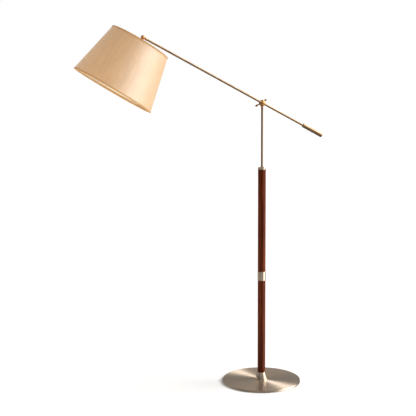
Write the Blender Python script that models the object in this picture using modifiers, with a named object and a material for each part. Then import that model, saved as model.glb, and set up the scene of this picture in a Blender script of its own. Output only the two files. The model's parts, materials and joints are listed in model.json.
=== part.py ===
"""Adjustable arm floor lamp.

A round weighted base carries a wooden pole with metal fittings and a thin
steel rod. A ball joint on the rod holds a long counterweighted arm, and a
small ball joint at the arm's end holds a tapered drum shade with its socket.

Metres, +Z up. The origin is the centre of the felt's underside, on the
floor. The arm lies in the XZ plane, with the shade towards -X.
"""

import math

import bmesh
import bpy
from mathutils import Matrix

MM = 0.001
GAP = 0.3 * MM                      # running gap between touching pieces

# Round pieces: number of flat sides.
SIDES_BASE = 48
SIDES_SHADE = 48
SIDES_POLE = 24
SIDES_SMALL = 16

# Base.
FELT_RADIUS = 174.5 * MM
FELT_TOP = 2.0 * MM
WEIGHT_RADIUS = 172.0 * MM
WEIGHT_BOTTOM = 2.3 * MM
WEIGHT_TOP = 8.7 * MM
NUT_RECESS_RADIUS = 13.0 * MM
NUT_RECESS_TOP = 6.6 * MM
COVER_RADIUS = 178.0 * MM
COVER_TOP = 10.3 * MM
COVER_WALL = 1.2 * MM
COVER_RIM_BOTTOM = 1.0 * MM
COVER_EDGE_ROUND = 2.4 * MM
BUSH_HEIGHT = 5.3 * MM

# Pole.
CORE_RADIUS = 5.0 * MM
CORE_BORE = 3.4 * MM
CORE_BOTTOM = 2.8 * MM
CORE_TOP = 985.6 * MM
SLEEVE_BORE = 5.4 * MM
WOOD_RADIUS = 17.6 * MM
FERRULE_RADIUS = 27.4 * MM
FERRULE_TOP = 43.3 * MM
FERRULE_WALL = 1.8 * MM
LOWER_WOOD_TOP = 474.5 * MM
RING_BOTTOM = 474.8 * MM
RING_TOP = 516.5 * MM
RING_RADIUS = 18.6 * MM
UPPER_WOOD_TOP = 981.9 * MM
CAP_RADIUS = 18.4 * MM
CAP_TOP = 993.0 * MM

# Rod and the pivot on top of it.
ROD_RADIUS = 4.75 * MM
ROD_BORE = 3.3 * MM
ROD_BOTTOM = 986.1 * MM
ROD_TOP = 1253.8 * MM
PIVOT_HEIGHT = 1279.0 * MM
PIVOT_RADIUS = 14.6 * MM
PIVOT_HALF_GAP = 0.7 * MM
NECK_RADIUS = 5.7 * MM
KEY_ANGLE = math.radians(29.8)      # the wings rise towards +X
KEY_SPAN = 30.0 * MM

# Arm.
ARM_ELEVATION = math.radians(28.3)  # the shade end is up
ARM_RADIUS = 4.75 * MM
ARM_BORE = 3.3 * MM
ARM_OFFSET = -7.6 * MM              # the arm runs in the front half ball
ARM_REACH = 605.0 * MM              # pivot to shade joint
ARM_TAIL = 270.0 * MM               # pivot to the tube's end in the weight
WEIGHT_START = 212.5 * MM           # counterweight, measured from the pivot
WEIGHT_END = 314.5 * MM
WEIGHT_ROD_RADIUS = 9.2 * MM

# Shade joint and shade.
KNUCKLE_RADIUS = 9.6 * MM
KNUCKLE_HALF_GAP = 0.6 * MM
SHADE_LEAN = math.radians(2.7)      # shade axis against the arm's normal
SHADE_TOP_DROP = 22.2 * MM          # joint centre to the shade's top edge
SHADE_BOTTOM_DROP = 263.0 * MM
SHADE_TOP_RADIUS = 135.5 * MM
SHADE_BOTTOM_RADIUS = 188.5 * MM
FABRIC_THICK = 1.0 * MM
LINING_THICK = 0.6 * MM
TRIM_THICK = 0.6 * MM
TRIM_HEIGHT = 5.5 * MM
WIRE_RADIUS = 1.5 * MM
STEM_RADIUS = 4.0 * MM

# Colour, roughness and metallic value of each material.
LOOKS = {
    "nickel": ((0.62, 0.57, 0.50), 0.28, 1.0),
    "brushed_nickel": ((0.55, 0.50, 0.43), 0.38, 1.0),
    "brass": ((0.45, 0.27, 0.12), 0.32, 1.0),
    "bronze_steel": ((0.36, 0.29, 0.21), 0.35, 1.0),
    "mahogany": ((0.13, 0.035, 0.012), 0.35, 0.0),
    "linen": ((0.74, 0.58, 0.40), 0.85, 0.0),
    "lining": ((0.90, 0.84, 0.72), 0.80, 0.0),
    "trim": ((0.60, 0.42, 0.22), 0.85, 0.0),
    "steel": ((0.55, 0.55, 0.56), 0.40, 1.0),
    "cast_iron": ((0.08, 0.08, 0.08), 0.75, 0.6),
    "felt": ((0.03, 0.03, 0.03), 0.98, 0.0),
    "black_plastic": ((0.03, 0.03, 0.03), 0.45, 0.0),
    "glass": ((0.92, 0.92, 0.90), 0.15, 0.0),
}


# ---------------------------------------------------------------- helpers

def clear_scene():
    """Remove every object, and the collections that are left empty."""
    for obj in list(bpy.data.objects):
        bpy.data.objects.remove(obj, do_unlink=True)
    for collection in list(bpy.data.collections):
        bpy.data.collections.remove(collection)


def make_material(name):
    """Principled material with the named colour, roughness and metal."""
    if name in bpy.data.materials:
        return bpy.data.materials[name]
    colour, roughness, metallic = LOOKS[name]
    material = bpy.data.materials.new(name)
    material.use_nodes = True
    shader = material.node_tree.nodes["Principled BSDF"]
    shader.inputs["Base Color"].default_value = (*colour, 1.0)
    shader.inputs["Roughness"].default_value = roughness
    shader.inputs["Metallic"].default_value = metallic
    material.diffuse_color = (*colour, 1.0)
    return material


def place(obj, parent, location=(0.0, 0.0, 0.0), rotation=(0.0, 0.0, 0.0)):
    """Put an object in its parent's frame."""
    obj.parent = parent
    obj.location = location
    obj.rotation_euler = rotation


def add_object(name, data, look, collection):
    """Link new object data under one name, with its own material."""
    obj = bpy.data.objects.new(name, data)
    collection.objects.link(obj)
    if look:
        material = make_material(look).copy()
        material.name = name + "_" + look
        data.materials.append(material)
    return obj


def add_axis(name, parent, location, rotation=(0.0, 0.0, 0.0)):
    """Empty on a joint's axis."""
    empty = bpy.data.objects.new(name, None)
    empty.empty_display_size = 0.05
    PARTS.objects.link(empty)
    place(empty, parent, location, rotation)
    return empty


def arc(centre, radius, start_deg, end_deg, count):
    """Points on an arc in the (radius, height) plane, both ends included."""
    points = []
    for step in range(count + 1):
        angle = math.radians(start_deg + (end_deg - start_deg) * step / count)
        points.append((centre[0] + radius * math.cos(angle), centre[1] + radius * math.sin(angle)))
    return points


def turned(name, profile, look, sides, bored=True, collection=None):
    """Turned piece about local Z.

    The profile runs outwards along the top, down the outside, inwards along
    the bottom and, when the piece is bored, up the bore to its start.
    """
    mesh = bpy.data.meshes.new(name)
    points = [(radius, 0.0, height) for radius, height in profile]
    edges = [(i, i + 1) for i in range(len(points) - 1)]
    if bored:
        edges.append((len(points) - 1, 0))
    mesh.from_pydata(points, edges, [])
    obj = add_object(name, mesh, look, collection or PARTS)
    screw = obj.modifiers.new("Turn", "SCREW")
    screw.axis = "Z"
    screw.steps = sides
    screw.render_steps = sides
    screw.use_merge_vertices = True
    screw.merge_threshold = 0.00002
    screw.use_smooth_shade = True
    return obj


def finished_mesh(obj):
    """Apply an object's modifiers and weld its caps; keeps its place."""
    bpy.context.view_layer.update()
    graph = bpy.context.evaluated_depsgraph_get()
    mesh = bpy.data.meshes.new_from_object(obj.evaluated_get(graph))
    work = bmesh.new()
    work.from_mesh(mesh)
    bmesh.ops.remove_doubles(work, verts=work.verts, dist=0.00002)
    bmesh.ops.recalc_face_normals(work, faces=work.faces)
    work.to_mesh(mesh)
    work.free()
    return mesh


def curve_to_mesh(obj, look):
    """Replace a curve object by a closed mesh object of the same name."""
    name = obj.name
    mesh = finished_mesh(obj)
    parent = obj.parent
    local = obj.matrix_local.copy()
    collection = obj.users_collection[0]
    curve = obj.data
    bpy.data.objects.remove(obj, do_unlink=True)
    bpy.data.curves.remove(curve)
    mesh.name = name
    mesh.materials.clear()
    new = add_object(name, mesh, look, collection)
    new.parent = parent
    new.matrix_local = local
    return new


def as_cutter(obj):
    """Mark an object as a construction aid, never part of the lamp."""
    obj.hide_render = True
    obj.display_type = "WIRE"
    return obj


def boolean(target, tool, operation):
    """Exact Boolean between a piece and a construction aid."""
    modifier = target.modifiers.new(operation.title() + "_" + tool.name, "BOOLEAN")
    modifier.operation = operation
    modifier.solver = "EXACT"
    modifier.object = as_cutter(tool)


def drill(name, radius, bottom, top, sides=SIDES_SMALL):
    """Solid cylinder along local Z, for cutting or joining."""
    profile = [(0.0, top), (radius, top), (radius, bottom), (0.0, bottom)]
    return turned(name, profile, None, sides, bored=False, collection=TOOLS)


def box_cutter(name, size):
    """Box centred on its origin, for cutting."""
    mesh = bpy.data.meshes.new(name)
    work = bmesh.new()
    bmesh.ops.create_cube(work, size=1.0, matrix=Matrix.Diagonal((*size, 1.0)))
    work.to_mesh(mesh)
    work.free()
    return add_object(name, mesh, None, TOOLS)


def half_ball(radius, flat, pole, hole, steps):
    """Profile of a half ball above its flat face, cut off near its pole."""
    start = math.degrees(math.asin(pole / radius))
    end = math.degrees(math.asin(flat / radius))
    points = arc((0.0, 0.0), radius, start, end, steps)
    return [(hole, points[0][1])] + points + [(hole, points[-1][1])]


def hexagon(name, across_flats, bore, bottom, top, look):
    """Hexagon nut about local Z with a round bore."""
    radius = across_flats / math.sqrt(3.0)
    mesh = bpy.data.meshes.new(name)
    work = bmesh.new()
    bmesh.ops.create_cone(
        work, cap_ends=True, cap_tris=False, segments=6,
        radius1=radius, radius2=radius, depth=top - bottom,
        matrix=Matrix.Translation((0.0, 0.0, 0.5 * (top + bottom))),
    )
    work.to_mesh(mesh)
    work.free()
    nut = add_object(name, mesh, look, PARTS)
    hole = drill(name + "_hole", bore, bottom - 5.0 * MM, top + 5.0 * MM, 24)
    boolean(nut, hole, "DIFFERENCE")
    return nut, hole


def shade_radius(drop):
    """Outer radius of the fabric at a distance below the shade joint."""
    share = (drop - SHADE_TOP_DROP) / (SHADE_BOTTOM_DROP - SHADE_TOP_DROP)
    return SHADE_TOP_RADIUS + share * (SHADE_BOTTOM_RADIUS - SHADE_TOP_RADIUS)


def cone_wall(outset, thick, top_drop, bottom_drop):
    """Profile of a conical wall that follows the shade's slope."""
    return [
        (shade_radius(top_drop) + outset - thick, -top_drop),
        (shade_radius(top_drop) + outset, -top_drop),
        (shade_radius(bottom_drop) + outset, -bottom_drop),
        (shade_radius(bottom_drop) + outset - thick, -bottom_drop),
    ]


# ------------------------------------------------------------------- base

def build_base():
    """Felt, iron weight, spun cover, fixings and the flex inlet."""
    turned("base_felt", [(0.0, FELT_TOP), (FELT_RADIUS, FELT_TOP), (FELT_RADIUS, 0.0), (0.0, 0.0)],
           "felt", SIDES_BASE, bored=False)

    chamfer = 1.0 * MM
    weight = turned("base_weight", [
        (CORE_RADIUS + 2 * GAP, WEIGHT_TOP),
        (WEIGHT_RADIUS - chamfer, WEIGHT_TOP),
        (WEIGHT_RADIUS, WEIGHT_TOP - chamfer),
        (WEIGHT_RADIUS, WEIGHT_BOTTOM),
        (NUT_RECESS_RADIUS, WEIGHT_BOTTOM),
        (NUT_RECESS_RADIUS, NUT_RECESS_TOP),
        (CORE_RADIUS + 2 * GAP, NUT_RECESS_TOP),
    ], "cast_iron", SIDES_BASE)
    # A channel for the flex, from the rear rim to the recess in the middle.
    channel_length = WEIGHT_RADIUS
    channel = box_cutter("flex_channel", (8.0 * MM, channel_length, 6.0 * MM))
    channel.location = (0.0, 10.0 * MM + channel_length / 2, 3.3 * MM)
    boolean(weight, channel, "DIFFERENCE")

    inner = COVER_RADIUS - COVER_WALL
    round_in = COVER_EDGE_ROUND - COVER_WALL
    cover_hole = CORE_RADIUS + 3 * GAP
    outer_corner = arc((COVER_RADIUS - COVER_EDGE_ROUND, COVER_TOP - COVER_EDGE_ROUND),
                       COVER_EDGE_ROUND, 90, 0, 3)
    inner_corner = arc((inner - round_in, COVER_TOP - COVER_WALL - round_in), round_in, 0, 90, 1)
    cover = turned("base_cover", [(cover_hole, COVER_TOP)] + outer_corner
                   + [(COVER_RADIUS, COVER_RIM_BOTTOM), (inner, COVER_RIM_BOTTOM)] + inner_corner
                   + [(cover_hole, COVER_TOP - COVER_WALL)], "brushed_nickel", SIDES_BASE)
    inlet = drill("inlet_hole", 3.2 * MM, -6.0 * MM, 6.0 * MM)
    inlet.location = (0.0, COVER_RADIUS - 1.0 * MM, BUSH_HEIGHT)
    inlet.rotation_euler = (-math.pi / 2, 0.0, 0.0)
    boolean(cover, inlet, "DIFFERENCE")

    # Flex bush: a barrel in the rim's hole and a flange outside it.
    bush = turned("cord_bush", [
        (1.9 * MM, 1.9 * MM),
        (3.0 * MM, 1.9 * MM),
        (3.6 * MM, 1.4 * MM),
        (3.6 * MM, 0.4 * MM),
        (2.8 * MM, 0.4 * MM),
        (2.8 * MM, -4.6 * MM),
        (1.9 * MM, -4.6 * MM),
    ], "black_plastic", 24)
    bush.location = (0.0, COVER_RADIUS, BUSH_HEIGHT)
    bush.rotation_euler = (-math.pi / 2, 0.0, 0.0)

    turned("pole_washer", [(5.4 * MM, 6.2 * MM), (11.0 * MM, 6.2 * MM),
                           (11.0 * MM, 5.6 * MM), (5.4 * MM, 5.6 * MM)], "steel", 24)
    hexagon("pole_nut", 17.0 * MM, 5.4 * MM, 2.7 * MM, 5.2 * MM, "steel")


# ------------------------------------------------------------------- pole

def build_pole():
    """Steel core, bell ferrule, two wooden sleeves, ring, cap and rod."""
    turned("pole_core", [(CORE_BORE, CORE_TOP), (CORE_RADIUS, CORE_TOP),
                         (CORE_RADIUS, CORE_BOTTOM), (CORE_BORE, CORE_BOTTOM)], "steel", SIDES_SMALL)

    # The bell flares between a straight cone and a sine curve, and is open below.
    foot = COVER_TOP + GAP
    spring = foot + 1.5 * MM
    shoulder = FERRULE_TOP - 0.5 * MM
    roof = FERRULE_TOP - 3.0 * MM
    swell = FERRULE_RADIUS - WOOD_RADIUS
    outside = [(SLEEVE_BORE, FERRULE_TOP), (WOOD_RADIUS - 0.6 * MM, FERRULE_TOP)]
    inside = []
    steps = 6
    for step in range(steps + 1):
        share = step / steps
        flare = 0.5 * (share + math.sin(math.radians(90.0 * share)))
        radius = WOOD_RADIUS + swell * flare
        outside.append((radius, shoulder + share * (spring - shoulder)))
        inside.append((radius - FERRULE_WALL, roof + share * (spring - roof)))
    outside.append((FERRULE_RADIUS - 0.5 * MM, foot))
    inside.append((FERRULE_RADIUS - FERRULE_WALL - 0.5 * MM, foot))
    profile = outside + inside[::-1] + [(SLEEVE_BORE, inside[0][1])]
    turned("base_ferrule", profile, "nickel", SIDES_POLE)

    edge = 0.5 * MM
    for name, bottom, top in (
        ("lower_pole", FERRULE_TOP + GAP, LOWER_WOOD_TOP),
        ("upper_pole", RING_TOP + GAP, UPPER_WOOD_TOP),
    ):
        turned(name, [
            (SLEEVE_BORE, top), (WOOD_RADIUS - edge, top), (WOOD_RADIUS, top - edge),
            (WOOD_RADIUS, bottom + edge), (WOOD_RADIUS - edge, bottom), (SLEEVE_BORE, bottom),
        ], "mahogany", SIDES_POLE)

    # The ring has a fine groove near each end.
    groove = 0.7 * MM
    inset = 2.6 * MM
    profile = [
        (SLEEVE_BORE, RING_TOP),
        (RING_RADIUS - 0.6 * MM, RING_TOP),
        (RING_RADIUS, RING_TOP - 0.6 * MM),
        (RING_RADIUS, RING_TOP - inset),
        (RING_RADIUS - groove, RING_TOP - inset - groove / 2),
        (RING_RADIUS, RING_TOP - inset - groove),
        (RING_RADIUS, RING_BOTTOM + inset + groove),
        (RING_RADIUS - groove, RING_BOTTOM + inset + groove / 2),
        (RING_RADIUS, RING_BOTTOM + inset),
        (RING_RADIUS, RING_BOTTOM + 0.6 * MM),
        (RING_RADIUS - 0.6 * MM, RING_BOTTOM),
        (SLEEVE_BORE, RING_BOTTOM),
    ]
    turned("middle_ring", profile, "nickel", SIDES_POLE)

    # The core ends in the cap's wide bore, and the rod stands in its narrow bore.
    shoulder = 5.0 * MM
    bottom = UPPER_WOOD_TOP + GAP
    rod_hole = ROD_RADIUS + GAP
    step_height = CORE_TOP + 0.2 * MM
    shoulder_centre = (CAP_RADIUS - shoulder, CAP_TOP - shoulder)
    profile = [(rod_hole, CAP_TOP)]
    profile += arc(shoulder_centre, shoulder, 90, 0, 5)
    profile += [
        (CAP_RADIUS, bottom),
        (SLEEVE_BORE, bottom),
        (SLEEVE_BORE, step_height),
        (rod_hole, step_height),
    ]
    turned("pole_cap", profile, "nickel", SIDES_POLE)

    turned("upper_rod", [(ROD_BORE, ROD_TOP), (ROD_RADIUS, ROD_TOP),
                         (ROD_RADIUS, ROD_BOTTOM), (ROD_BORE, ROD_BOTTOM)], "bronze_steel", SIDES_SMALL)
    turned("swivel_washer", [(ROD_BORE, ROD_TOP + 0.9 * MM), (NECK_RADIUS, ROD_TOP + 0.9 * MM),
                             (NECK_RADIUS, ROD_TOP + GAP), (ROD_BORE, ROD_TOP + GAP)],
           "black_plastic", SIDES_SMALL)


# ------------------------------------------------------------------ pivot

def build_pivot(swing, tilt):
    """Ball in two halves: the back one on the rod, the front one on the arm."""
    back_profile = half_ball(PIVOT_RADIUS, PIVOT_HALF_GAP, 14.0 * MM, 2.8 * MM, 7)
    back = turned("pivot_back", back_profile, "brass", 28)
    place(back, swing, rotation=(-math.pi / 2, 0.0, 0.0))

    # Neck under the back half, with a bored spigot that turns in the rod.
    neck_bottom = ROD_TOP + 1.2 * MM - PIVOT_HEIGHT
    neck = turned("pivot_neck", [
        (1.7 * MM, -8.0 * MM),
        (NECK_RADIUS, -8.0 * MM),
        (NECK_RADIUS, neck_bottom),
        (2.9 * MM, neck_bottom),
        (2.9 * MM, neck_bottom - 16.0 * MM),
        (1.7 * MM, neck_bottom - 16.0 * MM),
    ], None, SIDES_SMALL, collection=TOOLS)
    place(neck, swing)
    sweep_radius = PIVOT_RADIUS + 0.4 * MM
    sweep_profile = [(0.0, sweep_radius)]
    sweep_profile += arc((0.0, 0.0), sweep_radius, 80, -3, 8)
    sweep_profile.append((0.0, sweep_profile[-1][1]))
    sweep = turned("pivot_sweep", sweep_profile, None, 28, bored=False, collection=TOOLS)
    place(sweep, swing, rotation=(math.pi / 2, 0.0, 0.0))
    boolean(neck, sweep, "DIFFERENCE")
    boolean(back, neck, "UNION")

    washer = turned("pivot_washer", [
        (3.0 * MM, 0.4 * MM),
        (13.0 * MM, 0.4 * MM),
        (13.0 * MM, -0.4 * MM),
        (3.0 * MM, -0.4 * MM),
    ], "black_plastic", 28)
    place(washer, swing, rotation=(-math.pi / 2, 0.0, 0.0))

    flat_angle = math.degrees(math.asin(PIVOT_HALF_GAP / PIVOT_RADIUS))
    front_profile = arc((0.0, 0.0), PIVOT_RADIUS, 90, flat_angle, 7)
    front_profile.append((0.0, front_profile[-1][1]))
    front_profile[0] = (0.0, PIVOT_RADIUS)
    front = turned("pivot_front", front_profile, "brass", 28, bored=False)
    place(front, tilt, rotation=(math.pi / 2, 0.0, 0.0))
    arm_hole = drill("arm_hole", ARM_RADIUS + GAP, -20.0 * MM, 20.0 * MM)
    place(arm_hole, tilt, (0.0, ARM_OFFSET, 0.0), (0.0, -math.pi / 2, 0.0))
    boolean(front, arm_hole, "DIFFERENCE")
    bolt_hole = drill("bolt_hole", 2.8 * MM, -4.0 * MM, 2.0 * MM, 24)
    place(bolt_hole, tilt, rotation=(-math.pi / 2, 0.0, 0.0))
    boolean(front, bolt_hole, "DIFFERENCE")


def key_outline(count):
    """Half outline of one wing: narrow neck, swelling to a round paddle."""
    neck = 2.0 * MM
    paddle = 4.6 * MM
    tip = KEY_SPAN - paddle
    points = [(0.0, neck), (8.5 * MM, neck * 0.9)]
    for step in range(1, 5):
        share = step / 5
        smooth = share * share * (3.0 - 2.0 * share)
        along = 8.5 * MM + share * (tip - 8.5 * MM)
        points.append((along, neck * 0.9 + smooth * (paddle - neck * 0.9)))
    for step in range(count + 1):
        angle = math.radians(90.0 * (1.0 - step / count))
        points.append((tip + paddle * math.cos(angle), paddle * math.sin(angle)))
    return points


def build_key(key):
    """Wing key and its bolt, which clamps the two half balls and the arm."""
    bolt = turned("clamp_bolt", [(0.0, 20.6 * MM), (2.5 * MM, 20.6 * MM),
                                 (2.5 * MM, -2.0 * MM), (2.0 * MM, -2.45 * MM), (0.0, -2.45 * MM)],
                  "steel", 24, bored=False)
    place(bolt, key, rotation=(-math.pi / 2, 0.0, 0.0))

    hub_profile = [(0.0, 23.6 * MM)]
    hub_profile += arc((3.4 * MM, 21.4 * MM), 2.2 * MM, 90, 0, 3)
    hub_profile += [
        (5.6 * MM, 14.4 * MM),
        (2.8 * MM, 14.4 * MM),
        (2.8 * MM, 21.0 * MM),
        (0.0, 21.0 * MM),
    ]
    hub = turned("wing_key", hub_profile, "brass", SIDES_SMALL, bored=False)
    place(hub, key, rotation=(-math.pi / 2, 0.0, 0.0))

    quarter = key_outline(4)
    right = quarter + [(x, -y) for x, y in quarter[-2:0:-1]]
    outline = right + [(-x, -y) for x, y in right if x > 0.0 or y > 0.0]
    curve = bpy.data.curves.new("key_wings", "CURVE")
    curve.dimensions = "2D"
    curve.fill_mode = "BOTH"
    curve.extrude = 1.5 * MM
    spline = curve.splines.new("POLY")
    spline.points.add(len(outline) - 1)
    for point, (x, y) in zip(spline.points, outline):
        point.co = (x, y, 0.0, 1.0)
    spline.use_cyclic_u = True
    wings = bpy.data.objects.new("key_wings", curve)
    TOOLS.objects.link(wings)
    place(wings, key, (0.0, 19.0 * MM, 0.0), (-math.pi / 2, 0.0, 0.0))
    wings = curve_to_mesh(wings, None)
    # The bolt's bore is kept clear of the wings.
    bore = drill("key_bore", 2.8 * MM, 10.0 * MM, 21.0 * MM, SIDES_SMALL)
    place(bore, key, rotation=(-math.pi / 2, 0.0, 0.0))
    boolean(wings, bore, "DIFFERENCE")
    boolean(hub, wings, "UNION")


# -------------------------------------------------------------------- arm

def build_arm(tilt):
    """Arm tube, counterweight, end collar and the arm's half of the knuckle."""
    along = (0.0, -math.pi / 2, 0.0)    # local +Z points to the shade
    line = (0.0, ARM_OFFSET, 0.0)
    tube_top = ARM_REACH - 13.6 * MM
    tube = turned("arm_tube", [
        (ARM_BORE, tube_top),
        (ARM_RADIUS, tube_top),
        (ARM_RADIUS, -ARM_TAIL),
        (ARM_BORE, -ARM_TAIL),
    ], "bronze_steel", SIDES_SMALL)
    place(tube, tilt, line, along)

    bore = ARM_RADIUS + GAP
    blind = -(ARM_TAIL + 2.0 * MM)
    mass = turned("counterweight", [
        (0.0, blind),
        (bore, blind),
        (bore, -WEIGHT_START),
        (WEIGHT_ROD_RADIUS - 2.2 * MM, -WEIGHT_START),
        (WEIGHT_ROD_RADIUS, -WEIGHT_START - 2.2 * MM),
        (WEIGHT_ROD_RADIUS, -WEIGHT_END + 0.8 * MM),
        (WEIGHT_ROD_RADIUS - 0.8 * MM, -WEIGHT_END),
        (0.0, -WEIGHT_END),
    ], "bronze_steel", 28, bored=False)
    place(mass, tilt, line, along)
    # Grub screw that fixes the counterweight on the tube, from below.
    screw_at = 228.0 * MM
    hole = drill("grub_hole", 2.1 * MM, -14.0 * MM, -4.0 * MM, 20)
    place(hole, tilt, (screw_at, ARM_OFFSET, 0.0))
    boolean(mass, hole, "DIFFERENCE")
    grub = turned("grub_screw", [(0.0, -5.2 * MM), (1.7 * MM, -5.2 * MM),
                                 (1.7 * MM, -9.0 * MM), (0.0, -9.0 * MM)], "steel", 20, bored=False)
    place(grub, tilt, (screw_at, ARM_OFFSET, 0.0))

    collar = turned("arm_collar", [
        (3.95 * MM, ARM_REACH - 11.8 * MM),
        (5.2 * MM, ARM_REACH - 11.8 * MM),
        (6.0 * MM, ARM_REACH - 12.8 * MM),
        (6.0 * MM, ARM_REACH - 17.5 * MM),
        (5.5 * MM, ARM_REACH - 20.0 * MM),
        (bore, ARM_REACH - 20.0 * MM),
        (bore, ARM_REACH - 13.3 * MM),
        (3.95 * MM, ARM_REACH - 13.3 * MM),
    ], "brass", SIDES_SMALL)
    place(collar, tilt, line, along)

    centre = (-ARM_REACH, ARM_OFFSET, 0.0)
    half_profile = half_ball(KNUCKLE_RADIUS, KNUCKLE_HALF_GAP, 9.0 * MM, 2.1 * MM, 5)
    half = turned("knuckle_arm_half", half_profile, "brass", 24)
    place(half, tilt, centre, (-math.pi / 2, 0.0, 0.0))
    neck = turned("knuckle_neck", [
        (1.6 * MM, -5.5 * MM),
        (3.6 * MM, -5.5 * MM),
        (3.6 * MM, -13.3 * MM),
        (2.9 * MM, -13.3 * MM),
        (2.9 * MM, -27.0 * MM),
        (1.6 * MM, -27.0 * MM),
    ], None, 24, collection=TOOLS)
    place(neck, tilt, centre, along)
    sweep = knuckle_sweep("knuckle_front_sweep")
    place(sweep, tilt, centre, (math.pi / 2, 0.0, 0.0))
    boolean(neck, sweep, "DIFFERENCE")
    boolean(half, neck, "UNION")

    washer = turned("knuckle_washer", [
        (2.3 * MM, 0.3 * MM),
        (8.4 * MM, 0.3 * MM),
        (8.4 * MM, -0.3 * MM),
        (2.3 * MM, -0.3 * MM),
    ], "black_plastic", 24)
    place(washer, tilt, centre, (-math.pi / 2, 0.0, 0.0))
    screw = turned("knuckle_screw", [
        (0.0, 8.4 * MM), (1.8 * MM, 8.4 * MM), (1.8 * MM, -9.3 * MM), (3.4 * MM, -9.3 * MM),
        (3.2 * MM, -10.3 * MM), (2.2 * MM, -11.1 * MM), (0.0, -11.4 * MM),
    ], "brass", 20, bored=False)
    place(screw, tilt, centre, (-math.pi / 2, 0.0, 0.0))


def knuckle_sweep(name):
    """Space that the opposite half of the shade joint turns in."""
    radius = KNUCKLE_RADIUS + 0.4 * MM
    points = [(0.0, radius)] + arc((0.0, 0.0), radius, 80, -4, 7)
    points.append((0.0, points[-1][1]))
    return turned(name, points, None, 24, bored=False, collection=TOOLS)


# ------------------------------------------------------------------ shade

def build_lamp_head(head):
    """Shade's half of the joint, stem, socket, bulb and switch."""
    half_profile = half_ball(KNUCKLE_RADIUS, KNUCKLE_HALF_GAP, 9.0 * MM, 2.1 * MM, 5)
    half = turned("knuckle_shade_half", half_profile, "brass", 24)
    place(half, head, rotation=(math.pi / 2, 0.0, 0.0))
    stem = turned("shade_stem", [
        (2.2 * MM, -5.5 * MM),
        (STEM_RADIUS, -5.5 * MM),
        (STEM_RADIUS, -58.0 * MM),
        (2.2 * MM, -58.0 * MM),
    ], None, 24, collection=TOOLS)
    place(stem, head)
    sweep = knuckle_sweep("knuckle_back_sweep")
    place(sweep, head, rotation=(-math.pi / 2, 0.0, 0.0))
    boolean(stem, sweep, "DIFFERENCE")
    boolean(half, stem, "UNION")

    cap = turned("socket_cap", [
        (4.4 * MM, -52.0 * MM),
        (6.5 * MM, -52.0 * MM),
        (7.0 * MM, -55.0 * MM),
        (12.0 * MM, -58.5 * MM),
        (16.0 * MM, -62.5 * MM),
        (17.4 * MM, -67.0 * MM),
        (17.4 * MM, -72.0 * MM),
        (16.6 * MM, -72.0 * MM),
        (16.6 * MM, -67.4 * MM),
        (15.2 * MM, -63.4 * MM),
        (11.4 * MM, -60.0 * MM),
        (4.4 * MM, -59.5 * MM),
    ], "brass", 24)
    place(cap, head)
    shell = turned("socket_shell", [
        (15.5 * MM, -68.5 * MM),
        (16.3 * MM, -68.5 * MM),
        (16.3 * MM, -72.3 * MM),
        (17.4 * MM, -72.9 * MM),
        (17.4 * MM, -101.0 * MM),
        (16.6 * MM, -101.0 * MM),
        (16.6 * MM, -73.6 * MM),
        (15.5 * MM, -72.9 * MM),
    ], "brass", 24)
    place(shell, head)
    hole = drill("switch_hole", 2.2 * MM, 10.0 * MM, 25.0 * MM, 20)
    place(hole, head, (0.0, 0.0, -86.0 * MM), (-math.pi / 2, 0.0, 0.0))
    boolean(shell, hole, "DIFFERENCE")
    insulator = turned("socket_insulator", [
        (3.0 * MM, -67.5 * MM),
        (15.1 * MM, -67.5 * MM),
        (15.1 * MM, -103.5 * MM),
        (13.6 * MM, -103.5 * MM),
        (13.6 * MM, -72.0 * MM),
        (3.0 * MM, -72.0 * MM),
    ], "black_plastic", 24)
    place(insulator, head)
    boss = turned("switch_boss", [
        (2.2 * MM, 21.0 * MM), (3.6 * MM, 21.0 * MM), (4.2 * MM, 20.4 * MM),
        (4.2 * MM, 17.8 * MM), (2.2 * MM, 17.8 * MM),
    ], "brass", 20)
    place(boss, head, (0.0, 0.0, -86.0 * MM), (-math.pi / 2, 0.0, 0.0))

    base = turned("bulb_base", [
        (0.0, -74.0 * MM),
        (4.0 * MM, -74.0 * MM),
        (4.6 * MM, -75.4 * MM),
        (11.4 * MM, -78.0 * MM),
        (13.0 * MM, -80.0 * MM),
        (12.4 * MM, -82.0 * MM),
        (13.0 * MM, -84.0 * MM),
        (12.4 * MM, -86.0 * MM),
        (13.0 * MM, -88.0 * MM),
        (12.4 * MM, -90.0 * MM),
        (13.0 * MM, -92.0 * MM),
        (13.0 * MM, -100.7 * MM),
        (0.0, -100.7 * MM),
    ], "steel", SIDES_SMALL, bored=False)
    place(base, head)
    place(build_bulb_glass(), head)


def build_bulb_glass():
    """Pear-shaped thin glass, open at the neck where the metal base closes it."""
    neck_drop = 101.0 * MM
    neck_radius = 12.9 * MM
    globe_radius = 30.0 * MM
    globe_drop = 158.0 * MM
    wall = 0.9 * MM
    outside = [(neck_radius, -neck_drop)]
    for step in range(1, 5):
        share = step / 4
        smooth = share * share * (3.0 - 2.0 * share)
        outside.append((neck_radius + smooth * (globe_radius - neck_radius),
                        -(neck_drop + share * (globe_drop - neck_drop))))
    outside += arc((0.0, -globe_drop), globe_radius, 0, -90, 5)[1:]
    outside[-1] = (0.0, outside[-1][1])
    inside = [(0.0, outside[-1][1] + wall)]
    inside += [(radius - wall, height) for radius, height in outside[-2:0:-1]]
    inside.append((neck_radius - wall, -neck_drop))
    return turned("bulb_glass", inside + outside, "glass", 20, bored=False)


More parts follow.
